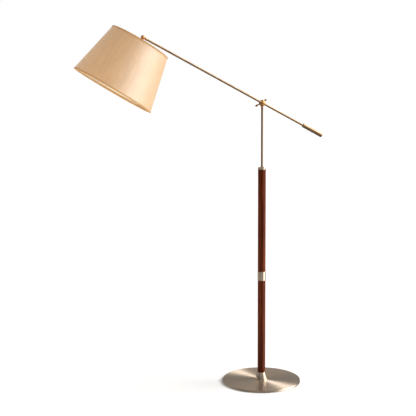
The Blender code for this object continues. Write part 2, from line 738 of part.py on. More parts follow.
def build_switch(knob_axis):
    """Turn switch: a shaft with a flattened knob."""
    knob = turned("switch_knob", [
        (0.0, 34.0 * MM),
        (3.4 * MM, 34.0 * MM),
        (4.4 * MM, 33.0 * MM),
        (4.4 * MM, 24.4 * MM),
        (3.0 * MM, 22.4 * MM),
        (1.7 * MM, 22.0 * MM),
        (1.7 * MM, 15.6 * MM),
        (0.0, 15.6 * MM),
    ], "brass", 24, bored=False)
    place(knob, knob_axis, rotation=(-math.pi / 2, 0.0, 0.0))
    for side in (-1.0, 1.0):
        cutter_name = "knob_flat_left" if side < 0.0 else "knob_flat_right"
        flat = box_cutter(cutter_name, (12.0 * MM, 13.0 * MM, 4.0 * MM))
        place(flat, knob_axis, (0.0, 31.5 * MM, side * 4.4 * MM))
        boolean(knob, flat, "DIFFERENCE")


def build_shade(head):
    """Fabric cone, lining, trims, wire rings and the spider that holds them."""
    slope = math.atan2(SHADE_BOTTOM_RADIUS - SHADE_TOP_RADIUS, SHADE_BOTTOM_DROP - SHADE_TOP_DROP)
    fabric = FABRIC_THICK / math.cos(slope)
    gap = GAP / math.cos(slope)
    lining = LINING_THICK / math.cos(slope)
    trim = TRIM_THICK / math.cos(slope)
    shell_profile = cone_wall(0.0, fabric, SHADE_TOP_DROP, SHADE_BOTTOM_DROP)
    shell = turned("shade_shell", shell_profile, "linen", SIDES_SHADE)
    place(shell, head)
    lining_profile = cone_wall(-fabric - gap, lining, SHADE_TOP_DROP, SHADE_BOTTOM_DROP)
    inner = turned("shade_lining", lining_profile, "lining", SIDES_SHADE)
    place(inner, head)

    # Each trim is an angle: a band outside the fabric and a web over both edges.
    inward = fabric + gap + lining
    band = gap + trim
    for name, edge, away in (
        ("trim_top", SHADE_TOP_DROP, -1.0),
        ("trim_bottom", SHADE_BOTTOM_DROP, 1.0),
    ):
        web_near = edge + away * GAP
        web_far = web_near + away * TRIM_THICK
        leg_end = edge - away * TRIM_HEIGHT
        profile = [
            (shade_radius(edge) - inward, -web_far),
            (shade_radius(web_far) + band, -web_far),
            (shade_radius(leg_end) + band, -leg_end),
            (shade_radius(leg_end) + gap, -leg_end),
            (shade_radius(web_near) + gap, -web_near),
            (shade_radius(edge) - inward, -web_near),
        ]
        if away > 0.0:
            profile.reverse()
        place(turned(name, profile, "trim", SIDES_SHADE), head)

    ring_inset = inward + GAP + WIRE_RADIUS + 0.1 * MM
    top_drop = SHADE_TOP_DROP + 2.0 * MM
    bottom_drop = SHADE_BOTTOM_DROP - 2.2 * MM
    bottom_wire = turned("bottom_wire",
                         arc((shade_radius(bottom_drop) - ring_inset - 0.4 * MM, -bottom_drop),
                             WIRE_RADIUS, 180, -108, 4), "steel", SIDES_SHADE)
    place(bottom_wire, head)

    # Spider: a washer on the stem, three wire legs and the top wire ring.
    washer_drop = 33.0 * MM
    ring_radius = shade_radius(top_drop) - ring_inset
    spider = turned("shade_spider", [
        (4.4 * MM, -washer_drop + 1.0 * MM), (11.0 * MM, -washer_drop + 1.0 * MM),
        (11.0 * MM, -washer_drop - 1.0 * MM), (4.4 * MM, -washer_drop - 1.0 * MM),
    ], "steel", 24)
    place(spider, head)
    ring_profile = arc((ring_radius, -top_drop), WIRE_RADIUS, 180, -108, 4)
    ring = turned("top_ring", ring_profile, None, SIDES_SHADE, collection=TOOLS)
    place(ring, head)
    boolean(spider, ring, "UNION")
    for leg in range(3):
        angle = math.radians(90.0 + 120.0 * leg)
        route = [
            (9.0 * MM, washer_drop),
            (60.0 * MM, washer_drop),
            (ring_radius - 16.0 * MM, washer_drop - 0.4 * MM),
            (ring_radius - 7.0 * MM, washer_drop - 3.5 * MM),
            (ring_radius + 0.2 * MM, top_drop),
        ]
        curve = bpy.data.curves.new("spider_leg_%d" % (leg + 1), "CURVE")
        curve.dimensions = "3D"
        curve.bevel_depth = 1.2 * MM
        curve.bevel_resolution = 1
        curve.use_fill_caps = True
        spline = curve.splines.new("POLY")
        spline.points.add(len(route) - 1)
        for point, (radius, drop) in zip(spline.points, route):
            point.co = (radius * math.cos(angle), radius * math.sin(angle), -drop, 1.0)
        wire = bpy.data.objects.new("spider_leg_%d" % (leg + 1), curve)
        TOOLS.objects.link(wire)
        place(wire, head)
        boolean(spider, curve_to_mesh(wire, None), "UNION")

    for name, bottom, top in (("fitter_nut_upper", -31.7 * MM, -27.0 * MM),
                              ("fitter_nut_lower", -39.0 * MM, -34.3 * MM)):
        nut, hole = hexagon(name, 14.0 * MM, 4.4 * MM, bottom, top, "brass")
        place(nut, head)
        place(hole, head)


# --------------------------------------------------------------- assembly

def finish_shading():
    """Smooth faces with sharp edges kept on the meshes that allow it."""
    for obj in PARTS.objects:
        if obj.type != "MESH":
            continue
        if obj.data.polygons:
            obj.data.shade_smooth()
            obj.data.set_sharp_from_angle(angle=math.radians(35.0))


clear_scene()
PARTS = bpy.data.collections.new("adjustable_arm_floor_lamp")
TOOLS = bpy.data.collections.new("construction_aids")
bpy.context.scene.collection.children.link(PARTS)
bpy.context.scene.collection.children.link(TOOLS)

swing_axis = add_axis("swing_axis", None, (0.0, 0.0, PIVOT_HEIGHT))
tilt_axis = add_axis("tilt_axis", swing_axis, (0.0, 0.0, 0.0), (0.0, ARM_ELEVATION, 0.0))
key_axis = add_axis("key_axis", tilt_axis, (0.0, 0.0, 0.0), (0.0, -KEY_ANGLE - ARM_ELEVATION, 0.0))
shade_axis = add_axis("shade_axis", tilt_axis, (-ARM_REACH, ARM_OFFSET, 0.0), (0.0, SHADE_LEAN, 0.0))
switch_axis = add_axis("switch_axis", shade_axis, (0.0, 0.0, -86.0 * MM))

build_base()
build_pole()
build_pivot(swing_axis, tilt_axis)
build_key(key_axis)
build_arm(tilt_axis)
build_lamp_head(shade_axis)
build_switch(switch_axis)
build_shade(shade_axis)
finish_shading()
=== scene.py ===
# %% [markdown]
# # An adjustable arm floor lamp
# The lamp is a heavy round foot, a wooden pole with metal fittings, a thin rod, and a long arm that
# tilts on a clamped ball, with a weight at one end and a tapered fabric shade at the other. The packed
# model already fixes every size and every joint. This script loads it, makes the fine surfaces and the
# finishes, and sets up a small photo studio. Each step says what the piece is before it makes it.

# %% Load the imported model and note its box
import json
import math

import bmesh
import bpy
import numpy as np
from mathutils import Matrix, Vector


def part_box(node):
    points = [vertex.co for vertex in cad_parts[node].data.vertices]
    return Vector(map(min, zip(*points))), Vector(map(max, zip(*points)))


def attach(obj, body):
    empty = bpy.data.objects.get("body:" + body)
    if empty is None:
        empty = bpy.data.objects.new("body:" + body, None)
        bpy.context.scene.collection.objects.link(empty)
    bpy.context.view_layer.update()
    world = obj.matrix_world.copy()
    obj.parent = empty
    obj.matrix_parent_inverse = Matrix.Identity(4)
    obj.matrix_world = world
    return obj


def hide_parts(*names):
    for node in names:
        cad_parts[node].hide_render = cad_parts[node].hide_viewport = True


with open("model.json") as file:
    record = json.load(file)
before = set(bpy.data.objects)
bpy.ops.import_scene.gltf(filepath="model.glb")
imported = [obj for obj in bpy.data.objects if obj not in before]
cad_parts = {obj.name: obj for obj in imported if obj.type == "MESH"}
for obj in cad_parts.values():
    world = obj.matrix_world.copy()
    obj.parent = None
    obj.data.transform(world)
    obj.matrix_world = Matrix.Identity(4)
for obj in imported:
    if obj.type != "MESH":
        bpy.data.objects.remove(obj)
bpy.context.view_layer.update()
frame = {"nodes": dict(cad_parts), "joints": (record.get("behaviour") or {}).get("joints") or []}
joints = {joint["name"]: joint for joint in frame["joints"]}

# %% [markdown]
# The camera stands a little left of the lamp's front, at about the pole's mid height, and looks slightly
# down. A long lens keeps the pole's sides almost parallel, as in a catalogue picture. It could also be
# aimed with a constraint, but plain angles are easier to read and to change.

# %% Camera
CAMERA_DISTANCE = 4.4806
CAMERA_AZIMUTH = math.radians(-15.26)
CAMERA_HEIGHT = 1.439
CAMERA_DOWN = math.radians(8.02)
CAMERA_PAN = math.radians(3.11)
CAMERA_ROLL = math.radians(-0.27)
camera_data = bpy.data.cameras.new("camera")
camera_data.sensor_width = 36.0
camera_data.lens = 86.58
camera = bpy.data.objects.new("camera", camera_data)
bpy.context.scene.collection.objects.link(camera)
turn = Matrix.Rotation(CAMERA_AZIMUTH + CAMERA_PAN, 4, "Z")
tip = Matrix.Rotation(math.pi / 2 - CAMERA_DOWN, 4, "X")
roll = Matrix.Rotation(CAMERA_ROLL, 4, "Z")
camera.matrix_world = Matrix.Translation((
    CAMERA_DISTANCE * math.sin(CAMERA_AZIMUTH),
    -CAMERA_DISTANCE * math.cos(CAMERA_AZIMUTH),
    CAMERA_HEIGHT,
)) @ turn @ tip @ roll
bpy.context.scene.camera = camera
print("camera at", [round(c, 3) for c in camera.location])

# %% [markdown]
# ## Frames
# Three frames carry all the turned pieces: the pole's, which is the world's, the arm's, and the shade's.
# Each is an origin and three unit axes. The joints in the record give them, so nothing is measured twice:
# the arm runs from its tilt joint to the shade's joint, and the shade's axis runs from its own joint to
# the switch on the socket.

# %% Frames from the joints
def unit(vector):
    """A vector divided by its length."""
    vector = np.asarray(vector, float)
    return vector / np.linalg.norm(vector)


def axes_along(direction, side=(0.0, 1.0, 0.0)):
    """Three unit axes: the third is the direction, the second is nearest to the given side."""
    third = unit(direction)
    first = unit(np.cross(side, third))
    return np.array([first, np.cross(third, first), third])


pivot = np.array(joints["arm_tilt"]["pos_m"], float)
shade_joint = np.array(joints["shade_tilt"]["pos_m"], float)
switch_joint = np.array(joints["switch_turn"]["pos_m"], float)
arm_offset = np.array([0.0, shade_joint[1], 0.0])
arm_reach = float(np.linalg.norm(shade_joint - pivot - arm_offset))
POLE = (np.zeros(3), np.eye(3))
ARM = (pivot + arm_offset, axes_along(shade_joint - pivot - arm_offset))
SHADE = (shade_joint, axes_along(shade_joint - switch_joint))
shade_lean = math.degrees(math.acos(SHADE[1][2][2]))
print("arm reach %.1f mm, shade leans %.1f degrees" % (arm_reach * 1000, shade_lean))


def local(node, place):
    """A model node's points as (radius, height) rows in a frame, in millimetres."""
    mesh = frame["nodes"][node].data
    points = np.empty(len(mesh.vertices) * 3)
    mesh.vertices.foreach_get("co", points)
    turned_in = (points.reshape(-1, 3) - place[0]) @ place[1].T * 1000.0
    return np.column_stack([np.hypot(turned_in[:, 0], turned_in[:, 1]), turned_in[:, 2]])


def reach(node, place):
    """A node's lowest and highest height and its greatest radius in a frame, in millimetres."""
    rows = local(node, place)
    return rows[:, 1].min(), rows[:, 1].max(), rows[:, 0].max()


def radius_at(node, place, height):
    """The greatest radius among a node's points within 0.2 mm of a height, in millimetres."""
    rows = local(node, place)
    return rows[np.abs(rows[:, 1] - height) < 0.2, 0].max()


# %% [markdown]
# ## Surfaces from arrays
# Most parts of a lamp are turned on a lathe or drawn as tube, so one tool makes most of them: an outline
# of radius and height, carried round an axis. Blender's Screw modifier does the same thing, but an array
# keeps the outline's real numbers in sight and gives a UV map in metres at once. Every corner of an
# outline gets a small arc, because a real edge is never sharp and the arc is what catches the light.

# %% Rounded outlines
def rounded(corners, steps=5, closed=True):
    """An outline whose corners are turned into arcs. A row of corners is (radius, height, corner radius)
    in millimetres. An arc of radius q where the sides meet at the angle 2h begins q / tan(h) from the
    corner, its centre lies q / sin(h) along the bisector, and a support point follows each end of it."""
    corners = np.asarray(corners, float)
    point, q = corners[:, :2], corners[:, 2].copy()
    to_last = np.roll(point, 1, axis=0) - point
    to_next = np.roll(point, -1, axis=0) - point
    to_last /= np.maximum(np.linalg.norm(to_last, axis=1, keepdims=True), 1e-9)
    to_next /= np.maximum(np.linalg.norm(to_next, axis=1, keepdims=True), 1e-9)
    half = 0.5 * np.arccos(np.clip((to_last * to_next).sum(1), -1.0, 1.0))
    bisector = to_last + to_next
    length = np.linalg.norm(bisector, axis=1, keepdims=True)
    q[(length[:, 0] < 1e-6) | (half < 1e-6)] = 0.0
    if not closed:
        q[[0, -1]] = 0.0
    cut = (q / np.maximum(np.tan(half), 1e-9))[:, None]
    centre = point + bisector / np.maximum(length, 1e-9) * (q / np.maximum(np.sin(half), 1e-9))[:, None]
    start = point + to_last * cut - centre
    end = point + to_next * cut - centre
    first = np.arctan2(start[:, 1], start[:, 0])
    sweep = (np.arctan2(end[:, 1], end[:, 0]) - first + math.pi) % (2 * math.pi) - math.pi
    angle = first[:, None] + sweep[:, None] * np.linspace(0.0, 1.0, steps)
    arcs = centre[:, None] + q[:, None, None] * np.stack([np.cos(angle), np.sin(angle)], axis=2)
    before = (point + to_last * (cut + 0.25 * q[:, None]))[:, None]
    after = (point + to_next * (cut + 0.25 * q[:, None]))[:, None]
    outline = np.concatenate([before, arcs, after], axis=1).reshape(-1, 2)
    apart = np.linalg.norm(outline - np.roll(outline, 1, axis=0), axis=1) > 1e-5
    return outline[apart]


# %% A grid of points becomes a mesh
def grid_piece(name, points, rows_meet, crease=38.0):
    """A closed surface from a grid of points, rows by columns, in metres. The columns always meet. The
    rows meet too on a ring, and on other pieces each end row has shrunk to one point. The UV map holds
    the distance round the widest row and the distance along the first column, in metres."""
    points = np.asarray(points, float)
    rows, columns = points.shape[:2]
    bands = rows if rows_meet else rows - 1
    row, column = np.meshgrid(np.arange(bands), np.arange(columns), indexing="ij")
    row, column = row.ravel(), column.ravel()
    above, beside = (row + 1) % rows, (column + 1) % columns
    faces = np.column_stack([
        row * columns + column,
        row * columns + beside,
        above * columns + beside,
        above * columns + column,
    ])
    looped = np.concatenate([points, points[:1]])
    along = np.concatenate([[0.0], np.cumsum(np.linalg.norm(np.diff(looped[:, 0], axis=0), axis=1))])
    widest = np.linalg.norm(points - np.roll(points, 1, axis=1), axis=2).sum(1).max()
    u = widest * np.column_stack([column, column + 1, column + 1, column]) / columns
    v = along[np.column_stack([row, row, row + 1, row + 1])]
    corner = points.reshape(-1, 3)[faces]
    if np.einsum("ij,ij->i", corner[:, 0], np.cross(corner[:, 1], corner[:, 2])).sum() + np.einsum(
        "ij,ij->i", corner[:, 0], np.cross(corner[:, 2], corner[:, 3])
    ).sum() < 0.0:
        faces, u, v = faces[:, ::-1], u[:, ::-1], v[:, ::-1]
    mesh = bpy.data.meshes.new(name)
    mesh.from_pydata(points.reshape(-1, 3).tolist(), [], faces.tolist())
    layer = mesh.uv_layers.new(name="UVMap")
    layer.data.foreach_set("uv", np.column_stack([u.ravel(), v.ravel()]).ravel())
    if not rows_meet:
        shape = bmesh.new()
        shape.from_mesh(mesh)
        bmesh.ops.remove_doubles(shape, verts=shape.verts, dist=1e-7)
        shape.to_mesh(mesh)
        shape.free()
    mesh.shade_smooth()
    mesh.set_sharp_from_angle(angle=math.radians(crease))
    piece = bpy.data.objects.new(name, mesh)
    bpy.context.scene.collection.objects.link(piece)
    return piece


def turned(name, outline, place, around=96, crease=38.0):
    """An outline of (radius, height) rows in millimetres, carried round a frame's third axis. The point
    at the angle t is origin + height * third + radius * (cos t * first + sin t * second)."""
    outline = np.asarray(outline, float) * 0.001
    origin, axes = place
    t = np.linspace(0.0, 2 * math.pi, around, endpoint=False)
    ring = np.cos(t)[:, None] * axes[0] + np.sin(t)[:, None] * axes[1]
    points = origin + outline[:, 1, None, None] * axes[2] + outline[:, 0, None, None] * ring
    on_axis = outline[0, 0] < 1e-9 and outline[-1, 0] < 1e-9
    return grid_piece(name, points, rows_meet=not on_axis, crease=crease)


def joined(name, parts):
    """One piece made of several closed surfaces."""
    shape = bmesh.new()
    for part in parts:
        shape.from_mesh(part.data)
        bpy.data.objects.remove(part)
    mesh = bpy.data.meshes.new(name)
    shape.to_mesh(mesh)
    shape.free()
    piece = bpy.data.objects.new(name, mesh)
    bpy.context.scene.collection.objects.link(piece)
    return piece


def carved(piece, cutter):
    """The piece with the cutter's shape taken out of it. Both are closed, which is what the manifold
    solver needs. A cut that leaves nothing stops the script."""
    modifier = piece.modifiers.new("cut", "BOOLEAN")
    modifier.operation = "DIFFERENCE"
    modifier.solver = "MANIFOLD"
    modifier.object = cutter
    bpy.context.view_layer.update()
    result = piece.evaluated_get(bpy.context.evaluated_depsgraph_get())
    mesh = bpy.data.meshes.new_from_object(result)
    if not mesh.polygons:
        raise ValueError("the cut left nothing of " + piece.name)
    piece.modifiers.clear()
    piece.data = mesh
    mesh.set_sharp_from_angle(angle=math.radians(30.0))
    bpy.data.objects.remove(cutter)
    return piece


def block(name, low, high, place):
    """A closed box between two corners, in millimetres along a frame's three axes. Corner number k takes
    the high value of the first axis if bit 2 of k is set, of the second for bit 1, of the third for bit 0."""
    low, high = np.array(low), np.array(high)
    bits = np.array([[k >> 2 & 1, k >> 1 & 1, k & 1] for k in range(8)])
    points = (low + bits * (high - low)) * 0.001 @ place[1] + place[0]
    sides = [(0, 1, 3, 2), (4, 6, 7, 5), (0, 4, 5, 1), (2, 3, 7, 6), (0, 2, 6, 4), (1, 5, 7, 3)]
    mesh = bpy.data.meshes.new(name)
    mesh.from_pydata(points.tolist(), [], sides)
    piece = bpy.data.objects.new(name, mesh)
    bpy.context.scene.collection.objects.link(piece)
    return piece


# %% [markdown]
# ## Finishes
# Every finish is a small network of nodes on one Principled shader: its colour, its roughness and a bump
# are worked out from noise and waves at the size of the real grain. A picture of the surface would be
# quicker to use, but it blurs close up and shows its seams. The helpers below add a node, a ramp or a
# noise, and start a finish. Numbers that are the same all over go straight on the shader.

# %% Node helpers
FINISH = {}


def add(material, kind, inputs=None, **settings):
    """A new node. Inputs are numbers, colours or other nodes' outputs."""
    made = material.node_tree.nodes.new("ShaderNode" + kind)
    for key, value in settings.items():
        setattr(made, key, value)
    for key, value in (inputs or {}).items():
        if isinstance(value, bpy.types.NodeSocket):
            material.node_tree.links.new(value, made.inputs[key])
        else:
            made.inputs[key].default_value = value
    return made


def ramp(material, factor, *stops):
    """A colour ramp whose stops are (position, colour)."""
    made = add(material, "ValToRGB", {"Fac": factor})
    elements = made.color_ramp.elements
    elements.remove(elements[1])
    elements[0].position = stops[0][0]
    elements[0].color = (*stops[0][1], 1.0)
    for position, colour in stops[1:]:
        elements.new(position).color = (*colour, 1.0)
    return made.outputs["Color"]


def between(material, factor, low, high):
    """A number that runs from low to high while the factor runs from 0 to 1."""
    made = add(material, "MapRange", {"Value": factor, "To Min": low, "To Max": high})
    return made.outputs["Result"]


def blended(material, kind, first, second, amount=1.0):
    """Two colours put together by a blend of this kind."""
    made = add(material, "Mix", {0: amount, 6: first, 7: second}, data_type="RGBA", blend_type=kind)
    return made.outputs[2]


def stretched_noise(material, coordinates, scale, detail=4.0, roughness=0.55):
    """Noise whose cells are 1 / scale metres long in each direction."""
    place = add(material, "Mapping", {"Vector": coordinates, "Scale": scale})
    made = add(material, "TexNoise", {"Vector": place.outputs["Vector"], "Scale": 1.0, "Detail": detail,
                                      "Roughness": roughness})
    return made.outputs["Fac"]


def start_finish(name, **constants):
    """A new finish: its material, its shader, its Object coordinates and its UV coordinates."""
    material = bpy.data.materials.new(name)
    material.use_nodes = True
    shader = material.node_tree.nodes["Principled BSDF"]
    for key, value in constants.items():
        shader.inputs[key.replace("_", " ")].default_value = value
    where = add(material, "TexCoord")
    FINISH[name] = material
    print("finish:", name)
    return material, shader, where.outputs["Object"], where.outputs["UV"]


def link(material, shader, colour=None, roughness=None, height=None, depth=0.0001, strength=1.0):
    """Lead the colour, the roughness and a bump of this depth in metres to the shader."""
    links = material.node_tree.links
    if colour is not None:
        links.new(colour, shader.inputs["Base Color"])
    if roughness is not None:
        links.new(roughness, shader.inputs["Roughness"])
    if height is not None:
        bump = add(material, "Bump", {"Height": height, "Distance": depth, "Strength": strength})
        links.new(bump.outputs["Normal"], shader.inputs["Normal"])


# %% [markdown]
# The foot is faced on a lathe and left with its fine tool marks, then plated in warm nickel. The marks
# are rings, so light leaves them as a bright fan that turns with the eye. Here the marks are noise that
# reads only the distance from the centre, and the shader is told to stretch its highlight across them.

# %% Spun nickel for the foot
metal, shader, where, flat = start_finish(
    "brushed_nickel", Metallic=1.0, Anisotropic=0.9, Anisotropic_Rotation=0.25,
)
split = add(metal, "SeparateXYZ", {"Vector": where})
plan = add(metal, "CombineXYZ", {"X": split.outputs["X"], "Y": split.outputs["Y"]})
from_centre = add(metal, "VectorMath", {0: plan.outputs["Vector"]}, operation="LENGTH").outputs["Value"]
tool_marks = add(metal, "TexNoise", {"W": from_centre, "Scale": 1400.0, "Detail": 3.0}, noise_dimensions="1D")
wide_rings = add(metal, "TexNoise", {"W": from_centre, "Scale": 130.0, "Detail": 2.0}, noise_dimensions="1D")
haze = stretched_noise(metal, where, (9.0, 9.0, 9.0), 3.0)
ring_colour = ramp(metal, wide_rings.outputs["Fac"], (0.3, (0.62, 0.51, 0.405)), (0.7, (0.69, 0.575, 0.46)))
haze_colour = ramp(metal, haze, (0.35, (0.88, 0.86, 0.84)), (0.65, (1, 1, 1)))
nickel_colour = blended(metal, "MULTIPLY", ring_colour, haze_colour)
link(metal, shader, nickel_colour, between(metal, tool_marks.outputs["Fac"], 0.34, 0.46),
     tool_marks.outputs["Fac"], 0.00004, 0.35)
tangent = add(metal, "Tangent", direction_type="UV_MAP", uv_map="UVMap")
metal.node_tree.links.new(tangent.outputs["Tangent"], shader.inputs["Tangent"])

# %% [markdown]
# The other metals share one recipe, and differ in colour, roughness and the size of their grain. Polished
# nickel has faint lines from turning. The rod and the arm are bronzed, with marks along the tube from the
# die it was drawn through. The joints are brass that has gone brown where no hand rubs it. Nuts and wires
# are zinc-plated and the hidden weight is rough iron. One shared metal would be shorter, but then the
# pieces would not part from each other where they meet.

# %% Polished nickel for the fittings
metal, shader, where, flat = start_finish("polished_nickel", Metallic=1.0)
smear = stretched_noise(metal, where, (55.0, 55.0, 160.0), 4.0)
turning = stretched_noise(metal, where, (20.0, 20.0, 2600.0), 2.0)
link(metal, shader, ramp(metal, smear, (0.3, (0.66, 0.53, 0.41)), (0.7, (0.78, 0.66, 0.53))),
     between(metal, smear, 0.16, 0.26), turning, 0.00002, 0.25)

# %% Bronzed steel for the rod, the arm and the weight
metal, shader, where, flat = start_finish("bronzed_steel", Metallic=1.0)
drawn = stretched_noise(metal, flat, (2600.0, 22.0, 1.0), 3.0)
patina = stretched_noise(metal, where, (28.0, 28.0, 28.0), 5.0, 0.65)
link(metal, shader, ramp(metal, patina, (0.3, (0.28, 0.18, 0.100)), (0.7, (0.37, 0.245, 0.142))),
     between(metal, drawn, 0.36, 0.50), drawn, 0.00003, 0.3)

# %% Antique brass for the joints and the key
metal, shader, where, flat = start_finish("antique_brass", Metallic=1.0)
patina = stretched_noise(metal, where, (120.0, 120.0, 120.0), 6.0, 0.65)
scuffs = stretched_noise(metal, where, (900.0, 900.0, 900.0), 2.0)
brass_colour = ramp(metal, patina, (0.28, (0.30, 0.115, 0.035)), (0.5, (0.50, 0.245, 0.090)),
                    (0.75, (0.66, 0.37, 0.16)))
link(metal, shader, brass_colour, between(metal, patina, 0.48, 0.34), scuffs, 0.00003, 0.25)

# %% Zinc-plated steel for nuts and wires
metal, shader, where, flat = start_finish("steel", Metallic=1.0)
spangle = stretched_noise(metal, where, (300.0, 300.0, 300.0), 4.0)
link(metal, shader, ramp(metal, spangle, (0.3, (0.42, 0.42, 0.42)), (0.7, (0.60, 0.59, 0.57))),
     between(metal, spangle, 0.28, 0.45), spangle, 0.00003, 0.3)

# %% Cast iron for the weight in the foot
metal, shader, where, flat = start_finish("iron", Metallic=0.5)
sand = stretched_noise(metal, where, (700.0, 700.0, 700.0), 5.0, 0.7)
link(metal, shader, ramp(metal, sand, (0.3, (0.025, 0.024, 0.023)), (0.75, (0.10, 0.095, 0.09))),
     between(metal, sand, 0.6, 0.85), sand, 0.0003, 0.8)

# %% [markdown]
# The pole is mahogany under a satin lacquer. Its grain runs along the pole as broad dark and light bands,
# fine streaks, and short open pores, so three noises are stretched along the height by different amounts.
# A coat layer over the wood stands for the lacquer, which stays smooth while the grain under it is not.

# %% Mahogany
wood, shader, where, flat = start_finish(
    "mahogany", Coat_Weight=0.35, Coat_Roughness=0.16, Specular_IOR_Level=0.0,
)
sway = stretched_noise(wood, where, (7.0, 7.0, 4.0), 2.0)
bend = add(wood, "CombineXYZ", {
    "X": between(wood, sway, -0.006, 0.006), "Y": between(wood, sway, 0.006, -0.006),
})
bent = add(wood, "VectorMath", {0: where, 1: bend.outputs["Vector"]}, operation="ADD").outputs["Vector"]
bands = stretched_noise(wood, bent, (130.0, 130.0, 3.2), 3.0)
streaks = stretched_noise(wood, bent, (800.0, 800.0, 14.0), 5.0, 0.65)
pores = stretched_noise(wood, bent, (1900.0, 1900.0, 75.0), 2.0)
band_colour = ramp(wood, bands, (0.30, (0.050, 0.0052, 0.0003)), (0.52, (0.125, 0.0190, 0.0012)),
                   (0.72, (0.235, 0.0460, 0.0060)))
streak_colour = ramp(wood, streaks, (0.32, (0.55, 0.48, 0.44)), (0.62, (1.0, 1.0, 1.0)))
pore_colour = ramp(wood, pores, (0.30, (0.35, 0.30, 0.28)), (0.42, (1.0, 1.0, 1.0)))
wood_colour = blended(wood, "MULTIPLY", band_colour, streak_colour)
wood_colour = blended(wood, "MULTIPLY", wood_colour, pore_colour, 0.85)
link(wood, shader, wood_colour, between(wood, streaks, 0.50, 0.34), pores, 0.00006, 0.45)

# %% [markdown]
# The shade's cover is linen: thick and thin yarns, with slubs that run up the shade. Weave, slubs and
# shading all read the piece's own UV map, which is in metres, so the yarns keep their size and run true
# round the cone. The weave is two sets of waves at right angles, and the slubs are long thin noise.

# %% Linen for the cover
cloth, shader, where, flat = start_finish(
    "linen", Roughness=0.50, IOR=2.25, Specular_IOR_Level=1.0, Sheen_Weight=0.25, Sheen_Roughness=0.5,
)
slubs = stretched_noise(cloth, flat, (420.0, 14.0, 1.0), 4.0, 0.6)
cross_slubs = stretched_noise(cloth, flat, (16.0, 520.0, 1.0), 3.0, 0.6)
soft_bands = stretched_noise(cloth, flat, (120.0, 9.0, 1.0), 4.0)
warp_yarns = add(cloth, "TexWave", {"Vector": flat, "Scale": 185.0, "Distortion": 1.2, "Detail": 2.0},
                 bands_direction="X")
weft_yarns = add(cloth, "TexWave", {"Vector": flat, "Scale": 165.0, "Distortion": 1.2, "Detail": 2.0},
                 bands_direction="Y")
weave = blended(cloth, "SCREEN", warp_yarns.outputs["Color"], weft_yarns.outputs["Color"])
slub_colour = ramp(cloth, slubs, (0.30, (0.660, 0.365, 0.120)), (0.55, (0.730, 0.415, 0.140)),
                   (0.78, (0.800, 0.480, 0.185)))
cross_colour = ramp(cloth, cross_slubs, (0.30, (0.90, 0.88, 0.86)), (0.60, (1.0, 1.0, 1.0)))
band_colour = ramp(cloth, soft_bands, (0.32, (0.84, 0.82, 0.78)), (0.66, (1.0, 1.0, 1.0)))
weave_colour = ramp(cloth, weave, (0.25, (0.80, 0.76, 0.70)), (0.85, (1.0, 1.0, 1.0)))
cloth_colour = blended(cloth, "MULTIPLY", blended(cloth, "MULTIPLY", slub_colour, cross_colour), band_colour)
cloth_colour = blended(cloth, "MULTIPLY", cloth_colour, weave_colour, 0.8)
yarns = blended(cloth, "ADD", weave, ramp(cloth, slubs, (0.4, (0, 0, 0)), (0.8, (1, 1, 1))), 0.8)
link(cloth, shader, cloth_colour, None, yarns, 0.00025, 0.7)

# %% [markdown]
# The lining is pale stiff paper with loose fibres in it. The tape is a ribbed ribbon, and its ribs run
# across it, so they are waves along the UV map's first direction. Ribs of real height would take far more
# faces than the tape is worth, and a bump shows them as well at this size.

# %% Stiff lining and edging tape
paper, shader, where, flat = start_finish("lining", Roughness=0.65)
fibre = stretched_noise(paper, flat, (260.0, 260.0, 1.0), 5.0, 0.6)
paper_colour = ramp(paper, fibre, (0.3, (0.80, 0.70, 0.55)), (0.7, (0.87, 0.78, 0.64)))
link(paper, shader, paper_colour, None, fibre, 0.00008, 0.3)

tape, shader, where, flat = start_finish("trim", Roughness=0.85, Sheen_Weight=0.15)
ribs = add(tape, "TexWave", {"Vector": flat, "Scale": 210.0, "Distortion": 0.4}, bands_direction="X")
fuzz = stretched_noise(tape, flat, (600.0, 900.0, 1.0), 3.0)
rib_colour = ramp(tape, ribs.outputs["Fac"], (0.2, (0.42, 0.22, 0.080)), (0.8, (0.66, 0.38, 0.155)))
fuzz_colour = ramp(tape, fuzz, (0.3, (0.8, 0.8, 0.8)), (0.7, (1, 1, 1)))
tape_colour = blended(tape, "MULTIPLY", rib_colour, fuzz_colour)
link(tape, shader, tape_colour, None, ribs.outputs["Fac"], 0.00025, 0.7)

# %% [markdown]
# The last three are small: black felt that scatters nearly all light, black plastic with the dull skin of
# its mould, and glass frosted on the inside. Clear glass with a light inside would be truer to a lit
# bulb, but the lamp is off, and frosted glass then looks like pale milk.

# %% Felt, moulded plastic and frosted glass
felt, shader, where, flat = start_finish("felt", Roughness=0.97, Sheen_Weight=0.4)
fluff = stretched_noise(felt, where, (500.0, 500.0, 500.0), 6.0, 0.7)
felt_colour = ramp(felt, fluff, (0.3, (0.010, 0.010, 0.010)), (0.75, (0.040, 0.038, 0.036)))
link(felt, shader, felt_colour, None, fluff, 0.0004, 0.8)

plastic, shader, where, flat = start_finish("black_plastic")
mould = stretched_noise(plastic, where, (1500.0, 1500.0, 1500.0), 3.0)
link(plastic, shader, ramp(plastic, mould, (0.3, (0.012, 0.012, 0.012)), (0.7, (0.025, 0.025, 0.025))),
     between(plastic, mould, 0.35, 0.55), mould, 0.00004, 0.4)

glass, shader, where, flat = start_finish("frosted_glass", Transmission_Weight=0.35, IOR=1.5)
frost = stretched_noise(glass, where, (900.0, 900.0, 900.0), 3.0)
link(glass, shader, ramp(glass, frost, (0.3, (0.90, 0.90, 0.88)), (0.7, (0.97, 0.97, 0.95))),
     between(glass, frost, 0.30, 0.42), frost, 0.00002, 0.3)
